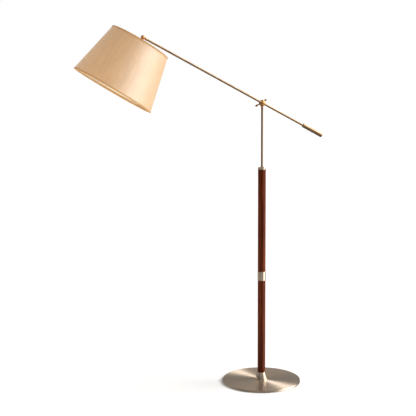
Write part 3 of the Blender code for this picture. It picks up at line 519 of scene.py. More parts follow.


# %% [markdown]
# Every piece needs the same three things: a finish, a body of the model that it moves with, and the
# model nodes that it stands for. One function does them all, so no piece can be left behind when a
# joint turns.

# %% Fitting a piece to the model
def fit(piece, body, finish, *nodes):
    """Gives a piece its finish, its body and the model nodes that it stands for."""
    piece.data.materials.clear()
    piece.data.materials.append(FINISH[finish])
    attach(piece, body)
    if nodes:
        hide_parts(*nodes)
    print("%-22s %6d faces on %s" % (piece.name, len(piece.data.polygons), body))
    return piece


# %% [markdown]
# ## The foot
# The foot is a thin pressed cover over a cast iron weight, with felt under it so that it slides on a
# wooden floor. The cover is one outline with a rounded shoulder and a hollow underside. The felt is a
# flat ring with rounded edges, and the bush at the back of the rim is where the flex comes in.

# %% Cover, felt and bush
low, high, radius = reach("base_cover", POLE)
hole = local("base_cover", POLE)[:, 0].min()
cover = turned("spun_cover", rounded([
    (hole, high, 0.1), (radius, high, 2.4), (radius, low, 0.35),
    (radius - 1.2, low, 0.35), (radius - 1.2, high - 1.2, 1.2), (hole, high - 1.2, 0.1),
], steps=9), POLE, around=384)
fit(cover, "base", "brushed_nickel", "base_cover")

low, high, radius = reach("base_felt", POLE)
hole = local("base_felt", POLE)[:, 0].min()
felt_ring = turned("felt_pad", rounded([
    (hole, high, 0.2), (radius, high, 0.5), (radius, low, 0.5), (hole, low, 0.2),
]), POLE, around=256)
fit(felt_ring, "base", "felt", "base_felt")

bush_low, bush_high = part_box("cord_bush")
bush_centre = np.array([0.0, bush_high[1] - 0.0019, (bush_low[2] + bush_high[2]) / 2])
BUSH = (bush_centre, axes_along((0.0, 1.0, 0.0), side=(0.0, 0.0, 1.0)))
bush = turned("flex_bush", rounded([
    (1.9, 1.9, 0.5), (3.6, 1.9, 0.6), (3.6, 0.4, 0.2), (2.8, 0.4, 0.1), (2.8, -4.6, 0.2), (1.9, -4.6, 0.2),
]), BUSH, around=48)
fit(bush, "base", "black_plastic", "cord_bush")

# %% [markdown]
# ## The pole
# Each wooden sleeve is a turned tube with its edges just broken, so that it meets the metal in a fine
# dark line. The bell at the foot flares halfway between a straight cone and a sine curve, and it is
# drawn from that formula. The ring in the middle has a groove near each end, and the cap has a round
# shoulder. All of them share one outline tool, so the same few numbers can be read for every part.

# %% Bell, sleeves, ring and cap
bore = 5.4
low, high, radius = reach("base_ferrule", POLE)
wood_radius = reach("lower_pole", POLE)[2]
share = np.linspace(0.0, 1.0, 40)
flare = 0.5 * (share + np.sin(0.5 * math.pi * share))
outside = np.column_stack([
    wood_radius + (radius - wood_radius) * flare,
    high - 0.25 + share * (low + 1.5 - high + 0.25),
])
inside = np.column_stack([outside[:, 0] - 1.8, high - 3.0 + share * (low + 1.5 - high + 3.0)])
bell = turned("bell_ferrule", np.concatenate([
    [(bore, high), (wood_radius - 0.35, high), (wood_radius - 0.1, high - 0.07)],
    outside,
    [(radius - 0.05, low + 0.5), (radius - 0.3, low + 0.08), (radius - 0.6, low), (radius - 2.2, low)],
    inside[::-1],
    [(bore, high - 3.0)],
]), POLE, around=144)
fit(bell, "base", "polished_nickel", "base_ferrule")

for node, name in (("lower_pole", "lower_wood_sleeve"), ("upper_pole", "upper_wood_sleeve")):
    low, high, radius = reach(node, POLE)
    sleeve = turned(name, rounded([
        (bore, high, 0.2), (radius, high, 0.6), (radius, low, 0.6), (bore, low, 0.2),
    ]), POLE, around=128)
    fit(sleeve, "base", "mahogany", node)

low, high, radius = reach("middle_ring", POLE)
ring = turned("grooved_ring", rounded([
    (bore, high, 0.2), (radius, high, 0.7),
    (radius, high - 2.6, 0.12), (radius - 0.7, high - 2.95, 0.12), (radius, high - 3.3, 0.12),
    (radius, low + 3.3, 0.12), (radius - 0.7, low + 2.95, 0.12), (radius, low + 2.6, 0.12),
    (radius, low, 0.7), (bore, low, 0.2),
]), POLE, around=128)
fit(ring, "base", "polished_nickel", "middle_ring")

low, high, radius = reach("pole_cap", POLE)
rod_radius = reach("upper_rod", POLE)[2]
cap = turned("shouldered_cap", rounded([
    (rod_radius + 0.3, high, 0.15), (radius, high, 5.0), (radius, low, 0.4),
    (bore, low, 0.2), (bore, low + 4.0, 0.2), (rod_radius + 0.3, low + 4.0, 0.2),
], steps=12), POLE, around=128)
fit(cap, "base", "polished_nickel", "pole_cap")

# %% [markdown]
# The rod is thin drawn tube. The flat shim on its end lets the ball turn without metal rubbing on metal.
# Both are plain rings of outline, because a tube needs nothing more than its two walls and broken edges.

# %% Rod and its washer
low, high, radius = reach("upper_rod", POLE)
rod = turned("upper_tube", rounded([
    (radius - 1.45, high, 0.1), (radius, high, 0.35), (radius, low, 0.35), (radius - 1.45, low, 0.1),
]), POLE, around=64)
fit(rod, "base", "bronzed_steel", "upper_rod")

low, high, radius = reach("swivel_washer", POLE)
swivel = turned("swivel_shim", rounded([
    (3.3, high, 0.1), (radius, high, 0.15), (radius, low, 0.15), (3.3, low, 0.1),
]), POLE, around=64)
fit(swivel, "base", "black_plastic", "swivel_washer")

# %% [markdown]
# ## The clamped ball
# Two half balls hold the arm. The back half ends in a neck that turns on the rod, and the front half is
# drilled across for the arm. Each half is a turned dome. The neck has to stop just short of the other
# half, or the two would grind, so its top is not flat: it lies on a sphere whose radius is a little
# larger on the front half's side, and that is one more line of arithmetic on the grid.

# %% Half balls and necks
def dome(name, centre, towards, radius, half_gap, pole_flat, bore_radius, around=96):
    """Half a ball about a direction. At the height h the wall's radius is sqrt(radius^2 - h^2), from the
    parting face to the small flat at its end, or to the end point when there is no flat."""
    place = (centre, axes_along(towards, side=(1.0, 0.0, 0.0)))
    angle = np.linspace(math.asin(half_gap / radius) + 0.02, math.asin(min(pole_flat / radius, 1.0)), 40)
    wall = np.column_stack([radius * np.cos(angle), radius * np.sin(angle)])
    lip = math.sqrt(radius ** 2 - half_gap ** 2) - 0.25
    if bore_radius > 0.0:
        face = [(bore_radius, half_gap), (lip, half_gap)]
        outline = np.concatenate([face, wall, [(bore_radius, pole_flat)]])
    else:
        wall[-1, 0] = 0.0
        outline = np.concatenate([[(0.0, half_gap), (lip, half_gap)], wall])
    return turned(name, outline, place, around)


def neck(name, centre, direction, outline, ball_radius, opposite):
    """A turned neck that leaves a ball. Its first rows lie on a sphere, 1.5 mm inside the ball on the
    neck's own side and 0.4 mm outside it on the opposite half's side, with a short ramp between."""
    origin, axes = np.asarray(centre, float), axes_along(direction)
    outline = np.asarray(outline, float)
    around, top_rows = 96, 9
    t = np.linspace(0.0, 2 * math.pi, around, endpoint=False)
    share = np.linspace(0.0, 1.0, top_rows)[:, None]
    top_radius = share * outline[0, 0] * np.ones_like(t)
    rows_radius = np.concatenate([top_radius, np.repeat(outline[:, :1], around, axis=1)])
    sideways = top_radius * np.sin(t) * opposite
    ramp_share = np.clip((sideways + 0.4) / 0.8, 0.0, 1.0)
    cup = ball_radius - 1.5 + 1.9 * ramp_share
    top = np.sqrt(cup ** 2 - top_radius ** 2)
    rows_height = np.concatenate([top, np.repeat(outline[:, 1:], around, axis=1)])
    rows_height[top_rows] = np.maximum(rows_height[top_rows], top[-1] + 0.01)
    ring = np.cos(t)[:, None] * axes[0] + np.sin(t)[:, None] * axes[1]
    points = origin + 0.001 * (rows_height[..., None] * axes[2] + rows_radius[..., None] * ring)
    return grid_piece(name, points, rows_meet=False)


pivot_radius = float(pivot[1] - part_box("pivot_front")[0][1]) * 1000.0
neck_radius = reach("swivel_washer", POLE)[2]
neck_foot = (pivot[2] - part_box("swivel_washer")[1][2]) * 1000.0 - 0.3
BALL_GAP = 0.7
back_ball = dome("back_half", pivot, (0, 1, 0), pivot_radius, BALL_GAP, pole_flat=14.0, bore_radius=2.8)
swivel_neck = neck("swivel_neck", pivot, (0, 0, -1), [
    (neck_radius, 15.6), (neck_radius - 0.9, 17.2), (neck_radius - 0.9, 19.6), (neck_radius, 20.6),
    (neck_radius, neck_foot - 0.3), (neck_radius - 0.3, neck_foot), (2.9, neck_foot),
    (2.9, neck_foot + 15.7), (0.0, neck_foot + 15.9),
], pivot_radius, opposite=-1.0)
fit(joined("ball_back_and_neck", [back_ball, swivel_neck]), "head", "antique_brass", "pivot_back")
front_ball = dome("ball_front", pivot, (0, -1, 0), pivot_radius, BALL_GAP, pole_flat=pivot_radius,
                  bore_radius=0.0)
fit(front_ball, "arm", "antique_brass", "pivot_front")
BALL_PLANE = (pivot, axes_along((0, 1, 0), side=(1, 0, 0)))
ball_shim = turned("ball_shim", rounded([
    (3.0, 0.4, 0.1), (13.0, 0.4, 0.2), (13.0, -0.4, 0.2), (3.0, -0.4, 0.1),
]), BALL_PLANE)
fit(ball_shim, "head", "black_plastic", "pivot_washer")

# %% [markdown]
# The wing key behind the ball loosens the clamp. It is cast, so its wings are soft-edged: each is a bar
# whose half width swells from a narrow neck to a round paddle, with a pillow-shaped cross-section. The
# width is a function of the distance from the hub, and the cross-section is a superellipse. Sculpting or
# a subdivided box would also do, but here each measure stays a number. Widths are in millimetres.

# %% Wing key
KEY_RISE = math.radians(29.8)
WING_SPAN, NECK_HALF, PADDLE, NECK_END = 30.0, 1.9, 4.6, 8.5
SQUARENESS = 0.7
key_along = np.array([math.cos(KEY_RISE), 0.0, math.sin(KEY_RISE)])
key_across = np.array([-math.sin(KEY_RISE), 0.0, math.cos(KEY_RISE)])
KEY_AXIS = (pivot, axes_along((0, 1, 0), side=(0, 0, 1)))
hub = turned("hub", rounded([
    (0.0, 23.6, 0), (5.6, 23.6, 2.2), (5.6, 14.4, 0.4), (2.8, 14.4, 0.2), (2.8, 21.0, 0.2), (0.0, 21.0, 0),
], closed=False, steps=8), KEY_AXIS, around=96)
paddle_centre = WING_SPAN - PADDLE
x = WING_SPAN * np.sin(np.linspace(-0.5 * math.pi, 0.5 * math.pi, 161))
away = np.abs(x)
rise = np.clip((away - NECK_END) / (paddle_centre - NECK_END), 0.0, 1.0)
width = NECK_HALF + rise ** 2 * (3.0 - 2.0 * rise) * (PADDLE - NECK_HALF)
round_tip = np.sqrt(np.clip(PADDLE ** 2 - np.clip(away - paddle_centre, 0.0, None) ** 2, 0.0, None))
width = np.minimum(width, round_tip)
thick = 1.5 * np.sqrt(np.clip(width / PADDLE, 0.0, 1.0)) * np.clip(0.72 + 0.28 * rise, 0.0, 1.0)
thick = thick + 0.12 * (width > 0)
thick[[0, -1]] = 0.0
t = np.linspace(0.0, 2 * math.pi, 48, endpoint=False)
square_cos = np.sign(np.cos(t)) * np.abs(np.cos(t)) ** SQUARENESS
square_sin = np.sign(np.sin(t)) * np.abs(np.sin(t)) ** SQUARENESS
wing_points = pivot + 0.001 * (
    x[:, None, None] * key_along
    + (width[:, None] * square_cos)[..., None] * key_across
    + (19.0 + thick[:, None] * square_sin)[..., None] * np.array([0.0, 1.0, 0.0])
)
wings = grid_piece("wings", wing_points, rows_meet=False, crease=60.0)
fit(joined("cast_wing_key", [hub, wings]), "key", "antique_brass", "wing_key")

# %% [markdown]
# ## The arm
# The arm is thin drawn tube. Its tail carries a turned weight, held by a grub screw from below, and its
# front end goes into a collar on the small joint that the shade turns on. Heights along the arm's own
# axis are measured from the ball, positive towards the shade.

# %% Tube, weight, collar
low, high, radius = reach("arm_tube", ARM)
tube = turned("arm_rod", rounded([
    (radius - 1.45, high, 0.1), (radius, high, 0.3), (radius, low, 0.3), (radius - 1.45, low, 0.1),
]), ARM, around=64)
fit(tube, "arm", "bronzed_steel", "arm_tube")

tube_radius = radius
low, high, radius = reach("counterweight", ARM)
slug = turned("turned_weight", rounded([
    (0.0, low, 0), (radius, low, 1.0), (radius, high - 2.2, 0.5), (radius - 2.2, high, 0.4),
    (tube_radius + 0.3, high, 0.15), (tube_radius + 0.3, low + 42.0, 0), (0.0, low + 42.0, 0),
], closed=False, steps=8), ARM, around=96)
fit(slug, "arm", "bronzed_steel", "counterweight")

low, high, radius = reach("arm_collar", ARM)
collar = turned("end_collar", rounded([
    (3.95, high, 0.1), (radius - 0.8, high, 0.3), (radius, high - 1.0, 0.3), (radius, low + 2.5, 0.5),
    (radius - 0.5, low, 0.3), (tube_radius + 0.3, low, 0.15), (tube_radius + 0.3, high - 1.5, 0.1),
    (3.95, high - 1.5, 0.1),
]), ARM, around=72)
fit(collar, "arm", "antique_brass", "arm_collar")

grub_low, grub_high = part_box("grub_screw")
grub_middle = (np.array(grub_low) + np.array(grub_high)) / 2
along = float((grub_middle - ARM[0]) @ ARM[1][2])
GRUB = (ARM[0] + along * ARM[1][2], axes_along(-ARM[1][0]))
grub = turned("grub", rounded([
    (0.0, 9.0, 0), (1.7, 9.0, 0.25), (1.7, 5.2, 0.2), (0.0, 5.2, 0),
], closed=False), GRUB, around=48)
hex_socket = turned("grub_socket", [(0.0, 9.5), (0.95, 9.5), (0.95, 7.6), (0.0, 7.2)], GRUB, around=6,
                    crease=10.0)
fit(carved(grub, hex_socket), "arm", "steel", "grub_screw")

# %% [markdown]
# ## The shade's joint
# The same dome and neck serve again at a smaller size. The arm's half is at the back, its neck goes into
# the collar, and the shade's half is in front with the long stem that carries everything below it. A
# slotted screw holds the two. The slot is cut with a thin box, which is quicker than drawing it.

# %% Small joint
knuckle_radius = math.hypot(float(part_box("knuckle_shade_half")[1][2] - shade_joint[2]) * 1000.0, 0.6)
KNUCKLE = {"radius": knuckle_radius, "half_gap": 0.6, "pole_flat": 9.0, "bore_radius": 2.1, "around": 80}
arm_half = dome("arm_half", shade_joint, (0, 1, 0), **KNUCKLE)
arm_neck = neck("arm_neck", shade_joint, -ARM[1][2], [
    (3.6, 10.4), (3.6, 13.0), (3.3, 13.3), (2.9, 13.3), (2.9, 26.8), (0.0, 27.0),
], knuckle_radius, opposite=-1.0)
fit(joined("joint_back_and_neck", [arm_half, arm_neck]), "arm", "antique_brass", "knuckle_arm_half")
stem_radius = 4.0
stem_foot = -reach("knuckle_shade_half", SHADE)[0]
front_half = dome("front_half", shade_joint, (0, -1, 0), **KNUCKLE)
threads = np.arange(24.0, stem_foot - 1.0, 0.5)
stem_outline = np.column_stack([stem_radius - 0.18 * (np.arange(len(threads)) % 2), threads])
stem = neck("stem", shade_joint, -SHADE[1][2], np.concatenate([
    [(stem_radius, 10.4), (stem_radius, 23.5)], stem_outline,
    [(stem_radius - 0.3, stem_foot - 0.3), (stem_radius - 0.6, stem_foot), (0.0, stem_foot)],
]), knuckle_radius, opposite=1.0)
fit(joined("joint_front_and_stem", [front_half, stem]), "shade", "antique_brass", "knuckle_shade_half")

JOINT_PIN = (shade_joint, axes_along((0, -1, 0), side=(1, 0, 0)))
joint_shim = turned("joint_shim", rounded([
    (2.3, 0.3, 0.1), (8.4, 0.3, 0.15), (8.4, -0.3, 0.15), (2.3, -0.3, 0.1),
]), JOINT_PIN, around=72)
fit(joint_shim, "arm", "black_plastic", "knuckle_washer")
screw = turned("screw", rounded([
    (0.0, -8.4, 0), (1.8, -8.4, 0.2), (1.8, 9.3, 0), (3.4, 9.3, 0.15), (3.3, 10.3, 0.8), (2.2, 11.2, 1.6),
    (0.0, 11.4, 0),
], closed=False), JOINT_PIN, around=64)
slot = block("slot", (-5.0, -0.4, 10.5), (5.0, 0.4, 12.0), JOINT_PIN)
fit(carved(screw, slot), "arm", "antique_brass", "knuckle_screw")

# %% [markdown]
# ## The shade
# The shade is a cone of linen stretched over a stiff lining, with a folded tape round each edge and wire
# rings inside. A cone unrolls into part of a flat ring, so the size that the linen was cut to follows
# from the two radii and the slant. The linen is a grid of angle and drop. Its slubs and the lap at its
# back are real height on that grid, and the fine weave is left to the finish.

# %% The cone's size
top_height = reach("shade_shell", SHADE)[1]
bottom_height = reach("shade_shell", SHADE)[0]
top_radius = radius_at("shade_shell", SHADE, top_height)
bottom_radius = radius_at("shade_shell", SHADE, bottom_height)


def cone_radius(height):
    """The cover's outer radius at a height, on the straight line between its two edges."""
    return top_radius + (top_height - height) / (top_height - bottom_height) * (bottom_radius - top_radius)


# %% Smooth noise and a wall on the cone
def smooth_steps(rng, rows, columns, low_rows, low_columns):
    """Noise on a grid: random numbers on a coarse grid, with cosine-weighted steps between them. The
    columns close on themselves."""
    coarse = rng.normal(size=(low_rows + 1, low_columns))
    r = np.linspace(0.0, low_rows - 1e-6, rows)
    c = np.linspace(0.0, low_columns, columns, endpoint=False)
    r0, c0 = r.astype(int), c.astype(int)
    fr = 0.5 - 0.5 * np.cos(math.pi * (r - r0))
    fc = 0.5 - 0.5 * np.cos(math.pi * (c - c0))
    c1 = (c0 + 1) % low_columns
    upper = coarse[r0][:, c0] * (1 - fc) + coarse[r0][:, c1] * fc
    lower = coarse[r0 + 1][:, c0] * (1 - fc) + coarse[r0 + 1][:, c1] * fc
    return upper * (1 - fr[:, None]) + lower * fr[:, None]


def cone_wall(name, outside, inside, high, low, rows, columns, relief=None):
    """A wall on the cone, from one offset to another, between two heights. The outer face's rows run down
    and the inner face's rows run back up, and relief is added to the outer face's radius."""
    origin, axes = SHADE
    down = np.linspace(high, low, rows)
    back = np.linspace(low, high, max(rows // 8, 2))
    height = np.concatenate([down, back])
    radius = np.concatenate([cone_radius(down) + outside, cone_radius(back) + inside])
    radius = np.repeat(radius[:, None], columns, axis=1)
    if relief is not None:
        radius[:rows] += relief
    t = np.linspace(0.0, 2 * math.pi, columns, endpoint=False) + 0.5 * math.pi
    ring = np.cos(t)[:, None] * axes[0] + np.sin(t)[:, None] * axes[1]
    points = origin + 0.001 * (height[:, None, None] * axes[2] + radius[..., None] * ring)
    return grid_piece(name, points, rows_meet=True)


# %% Linen cover and lining
# Thicknesses are measured square to the wall, and dividing by the cosine of its lean turns them into
# differences of radius.
lean_cosine = math.cos(math.atan2(bottom_radius - top_radius, top_height - bottom_height))
linen_thick = 1.0 / lean_cosine
rng = np.random.default_rng(7)
ROWS, COLUMNS = 100, 800
SLUB, LAP, LAP_HALF, LAP_EDGE = 0.05, 0.35, 0.030, 0.008
slub_height = SLUB * smooth_steps(rng, ROWS, COLUMNS, 9, 400)
slub_height = slub_height + SLUB * smooth_steps(rng, ROWS, COLUMNS, 4, 160)
from_seam = np.linspace(0.0, 2 * math.pi, COLUMNS, endpoint=False)
from_seam = np.abs((from_seam + math.pi) % (2 * math.pi) - math.pi)
lap = LAP * np.clip((LAP_HALF - from_seam) / LAP_EDGE, 0.0, 1.0)
relief = np.minimum(slub_height, 0.12) + lap
relief[[0, -1]] = np.minimum(relief[[0, -1]], 0.1)
linen = cone_wall("linen_cover", 0.0, -linen_thick, top_height, bottom_height, ROWS, COLUMNS, relief)
fit(linen, "shade", "linen", "shade_shell")

lining_outside = -linen_thick - 0.3 / lean_cosine
lining_inside = lining_outside - 0.6 / lean_cosine
lining_piece = cone_wall("stiff_lining", lining_outside, lining_inside, top_height, bottom_height, 24, 256)
fit(lining_piece, "shade", "lining", "shade_lining")

# %% [markdown]
# Each edge is bound with tape, folded over the linen, the lining and the wire like a hem. A flat strip
# laid on the outside would leave the raw edge in sight, so the outline has all three sides of the fold.

# %% Folded edge tapes
def edge_tape(name, edge, away):
    """A tape folded over an edge of the shade: a leg down the outside, a web over both walls and the wire,
    and a leg down the inside. Its outline is walked once round, and every fold in it is rounded. Away is
    +1 above the top edge and -1 below the bottom one."""
    web_near, web_far, leg = edge + 0.3 * away, edge + 0.9 * away, edge - 5.5 * away
    gap, band = 0.3 / lean_cosine, 0.9 / lean_cosine
    inner = lining_inside - 4.3
    corners = [
        (cone_radius(web_far) + inner - 0.6, web_far, 1.0), (cone_radius(web_far) + band, web_far, 0.75),
        (cone_radius(leg) + band, leg, 0.28), (cone_radius(leg) + gap, leg, 0.2),
        (cone_radius(web_near) + gap, web_near, 0.2), (cone_radius(web_near) + inner, web_near, 0.4),
        (cone_radius(leg) + inner, leg, 0.2), (cone_radius(leg) + inner - 0.6, leg, 0.28),
    ]
    return turned(name, rounded(corners), SHADE, around=384)


tape_top = fit(edge_tape("tape_top", top_height, 1.0), "shade", "trim", "trim_top")
tape_bottom = fit(edge_tape("tape_bottom", bottom_height, -1.0), "shade", "trim", "trim_bottom")

# %% [markdown]
# The wire frame inside is a ring at each edge, and a spider: a washer on the stem with three legs that
# run out level and rise to the top ring. The legs are round wire swept along a bent line, and the bends
# are rounded by sampling a smooth curve through the corner points, as a bent wire never has a kink.

# %% Wire rings and spider
def wire_along(name, path, thickness):
    """Round wire along a path in one upright plane. Each ring of points stands square to the path, at
    point + radius * (cos t * side + sin t * up), and the ends close to a point."""
    path = np.asarray(path, float)
    forward = np.gradient(path, axis=0)
    forward /= np.linalg.norm(forward, axis=1, keepdims=True)
    side = unit(np.cross(path[-1] - path[0], SHADE[1][2]))
    up = np.cross(forward, side)
    t = np.linspace(0.0, 2 * math.pi, 20, endpoint=False)
    ring = np.cos(t)[:, None] * side + np.sin(t)[:, None] * up[:, None]
    body = path[:, None] + 0.5 * thickness * ring
    ends = [np.repeat(path[:1, None], 20, axis=1), np.repeat(path[-1:, None], 20, axis=1)]
    return grid_piece(name, np.concatenate([ends[0], body, ends[1]]), rows_meet=False)


def smooth_path(points, count=60):
    """A curve that starts and ends at the first and last corner and rounds the others: a cubic B-spline
    whose end corners are counted three times, worked out from its four weights."""
    corners = np.concatenate([[points[0]] * 2, points, [points[-1]] * 2])
    at = np.linspace(0.0, len(corners) - 3 - 1e-9, count)
    index, u = at.astype(int), (at % 1.0)[:, None]
    weights = [(1 - u) ** 3, 3 * u ** 3 - 6 * u ** 2 + 4, -3 * u ** 3 + 3 * u ** 2 + 3 * u + 1, u ** 3]
    return sum(weights[k] * corners[index + k] for k in range(4)) / 6.0


low, high, ring_outer = reach("bottom_wire", SHADE)
wire_radius = (high - low) / 2.0
t = np.linspace(0.0, 2 * math.pi, 24, endpoint=False)
circle = np.column_stack([wire_radius * np.cos(t), wire_radius * np.sin(t)])
bottom_circle = circle + [ring_outer - wire_radius, (low + high) / 2.0]
bottom_ring = turned("bottom_ring", bottom_circle, SHADE, around=288)
fit(bottom_ring, "shade", "steel", "bottom_wire")

TOP_WIRE = 1.5
washer_height = -33.0
ring_height = top_height - 2.0
ring_radius = reach("shade_spider", SHADE)[2] - TOP_WIRE
top_ring = turned("top_ring", circle / wire_radius * TOP_WIRE + [ring_radius, ring_height], SHADE, around=288)
spider_washer = turned("spider_washer", rounded([
    (4.4, washer_height + 1.0, 0.1), (11.0, washer_height + 1.0, 0.4),
    (11.0, washer_height - 1.0, 0.4), (4.4, washer_height - 1.0, 0.1),
]), SHADE, around=72)
legs = []
for angle in np.radians([90.0, 210.0, 330.0]):
    out = math.cos(angle) * SHADE[1][0] + math.sin(angle) * SHADE[1][1]
    stops = np.array([
        (9.0, washer_height), (60.0, washer_height), (ring_radius - 16.0, washer_height - 0.2),
        (ring_radius - 7.0, washer_height), (ring_radius, ring_height),
    ])
    route = SHADE[0] + 0.001 * (stops[:, :1] * out + stops[:, 1:] * SHADE[1][2])
    legs.append(wire_along("leg", smooth_path(route), 0.0024))
fit(joined("spider_and_ring", [spider_washer, top_ring] + legs), "shade", "steel", "shade_spider")


def hex_nut(name, node, bore_radius):
    """A hexagon nut: six columns of an outline whose outer edges are rounded."""
    low, high, radius = reach(node, SHADE)
    return turned(name, rounded([
        (bore_radius, high, 0.1), (radius, high, 0.5), (radius, low, 0.5), (bore_radius, low, 0.1),
    ]), SHADE, around=6, crease=25.0)


for node, name in (("fitter_nut_upper", "upper_nut"), ("fitter_nut_lower", "lower_nut")):
    fit(hex_nut(name, node, bore_radius=4.4), "shade", "antique_brass", node)

# %% [markdown]
# ## Socket, bulb and switch
# Under the spider the stem carries a spun cap and a socket shell, with a turn switch at the side towards
# the back and a pear-shaped frosted bulb below. The bulb's glass widens on a smooth step and ends in
# half a ball. Its metal base has a real thread: the radius is a cosine of the drop less the angle.

# %% Socket
cap_top = reach("socket_cap", SHADE)[1]
socket_radius = reach("socket_cap", SHADE)[2]
socket_dome = turned("spun_socket_cap", rounded([
    (4.4, cap_top, 0.1), (6.5, cap_top, 0.4), (7.0, cap_top - 3.0, 0.6), (12.0, cap_top - 6.5, 2.5),
    (16.0, cap_top - 10.5, 2.5), (socket_radius, cap_top - 15.0, 2.0), (socket_radius, cap_top - 20.0, 0.3),
    (16.6, cap_top - 20.0, 0.1), (16.6, cap_top - 15.4, 1.0), (15.2, cap_top - 11.4, 1.0),
    (11.4, cap_top - 8.0, 1.0), (4.4, cap_top - 7.5, 0.1),
]), SHADE, around=96)
fit(socket_dome, "shade", "antique_brass", "socket_cap")
low, high, radius = reach("socket_shell", SHADE)
shell = turned("socket_barrel", rounded([
    (15.5, high, 0.1), (16.3, high, 0.1), (16.3, high - 3.8, 0.1), (radius, high - 4.4, 0.2),
    (radius, high - 8.0, 0.2), (radius - 0.45, high - 8.6, 0.2), (radius, high - 9.2, 0.2),
    (radius, low + 3.4, 0.2), (radius - 0.45, low + 2.8, 0.2), (radius, low + 2.2, 0.2),
    (radius, low, 0.35), (16.6, low, 0.3), (16.6, high - 5.1, 0.1), (15.5, high - 4.4, 0.1),
]), SHADE, around=96)
fit(shell, "shade", "antique_brass", "socket_shell")
low, high, radius = reach("socket_insulator", SHADE)
insulator = turned("socket_sleeve", rounded([
    (3.0, high, 0.2), (radius, high, 0.4), (radius, low, 0.5), (13.6, low, 0.4),
    (13.6, high - 4.5, 0.3), (3.0, high - 4.5, 0.2),
]), SHADE, around=96)
fit(insulator, "shade", "black_plastic", "socket_insulator")

# %% [markdown]
# The switch is a turned knob with two flats for finger and thumb. The flats are cut with two boxes. They
# could be drawn into the outline's grid, but a cut keeps their edges crisp and takes one line each.

# %% Switch
SWITCH = (switch_joint, axes_along((0.0, 1.0, 0.0), side=SHADE[1][2]))
boss = turned("switch_bush", rounded([
    (2.2, 21.0, 0.1), (3.6, 21.0, 0.3), (4.2, 20.4, 0.3), (4.2, 17.8, 0.2), (2.2, 17.8, 0.1),
]), SWITCH, around=64)
fit(boss, "shade", "antique_brass", "switch_boss")
knob = turned("knob", rounded([
    (0.0, 34.0, 0), (4.4, 34.0, 1.1), (4.4, 24.4, 0.5), (3.0, 22.4, 0.5), (1.7, 22.0, 0.3), (1.7, 15.6, 0.2),
    (0.0, 15.6, 0),
], closed=False), SWITCH, around=96)
carved(knob, block("flat", (-7.0, -6.0, 25.0), (-2.4, 6.0, 38.0), SWITCH))
carved(knob, block("flat", (2.4, -6.0, 25.0), (7.0, 6.0, 38.0), SWITCH))
fit(knob, "switch", "antique_brass", "switch_knob")

# %% [markdown]
# The bulb has two pieces. The metal base's thread is five turns of a shallow wave that fades in and out
# at its ends. The glass is one thin-walled outline, worked out from the globe's radius.

# %% Bulb base
low, high, radius = reach("bulb_base", SHADE)
THREAD, TURNS, AROUND = 0.35, 5.0, 72
drop = np.linspace(0.0, 1.0, 120)
t = np.linspace(0.0, 2 * math.pi, AROUND, endpoint=False)
fade = np.clip(np.minimum(drop, 1 - drop)[:, None] * 12, 0, 1)
thread = THREAD * np.cos(2 * math.pi * drop[:, None] * TURNS - t) * fade
swell = np.clip((drop[:, None] * (high - low) + 2.0) / 8.0, 0.0, 1.0) ** 0.35
base_radius = np.repeat((radius - THREAD) * swell, AROUND, axis=1) + thread
base_radius = np.concatenate([
    np.zeros((1, AROUND)), np.full((1, AROUND), 4.0), base_radius, np.zeros((1, AROUND)),
])
base_height = np.concatenate([[high, high], high - 1.0 - drop * (high - low - 1.0), [low]])
ring = np.cos(t)[:, None] * SHADE[1][0] + np.sin(t)[:, None] * SHADE[1][1]
cap_points = SHADE[0] + 0.001 * (base_height[:, None, None] * SHADE[1][2] + base_radius[..., None] * ring)
fit(grid_piece("bulb_cap", cap_points, rows_meet=False), "shade", "steel", "bulb_base")

# %% Bulb glass
low, high, globe = reach("bulb_glass", SHADE)
BULB_NECK, GLASS = 12.9, 0.9
share = np.linspace(0.0, 1.0, 32)
widen = BULB_NECK + share ** 2 * (3.0 - 2.0 * share) * (globe - BULB_NECK)
fall = high - share * (high - low - globe)
t = np.linspace(0.0, 0.5 * math.pi, 28)[1:]
outside = np.concatenate([
    np.column_stack([widen, fall]),
    np.column_stack([globe * np.cos(t), low + globe - globe * np.sin(t)]),
])
outside[-1, 0] = 0.0
inside = np.column_stack([np.clip(outside[:, 0] - GLASS, 0.0, None), outside[:, 1]])[::-1]
inside[0] = (0.0, low + GLASS)
inside[1:20, 1] = np.maximum(inside[1:20, 1], low + GLASS)
bulb = turned("frosted_bulb", np.concatenate([inside, outside]), SHADE, around=96)
fit(bulb, "shade", "frosted_glass", "bulb_glass")

# %% [markdown]
# ## Parts that stay as they are
# The weight in the foot, the steel tube through the pole, its nut and washer, and the clamp's bolt are
# right already and are mostly out of sight. They keep the model's mesh and only get their finish.

# %% Finishes for the model's own nodes
KEPT = {
    "base_weight": "iron", "pole_washer": "steel", "pole_nut": "steel", "pole_core": "steel",
    "clamp_bolt": "steel",
}
for node, finish in KEPT.items():
    mesh = frame["nodes"][node].data
    mesh.materials.clear()
    mesh.materials.append(FINISH[finish])
print("kept nodes:", ", ".join(KEPT))

# %% [markdown]
# ## The studio
# The floor is pale and the background is white. The key is a sun as wide as a soft window, square to the
# right of the lamp, and a narrow warm spot from low at the left lights only the shade and its inside.
# What the metal mirrors matters more than how bright the room is, so the room is worked out apart: some
# light above, in front, behind and from below, a bright upright wall at the right, and a dim one behind
# at the left. The camera sees plain white in its place. The metals do not mirror the floor, because the
# glow from below stands for it.

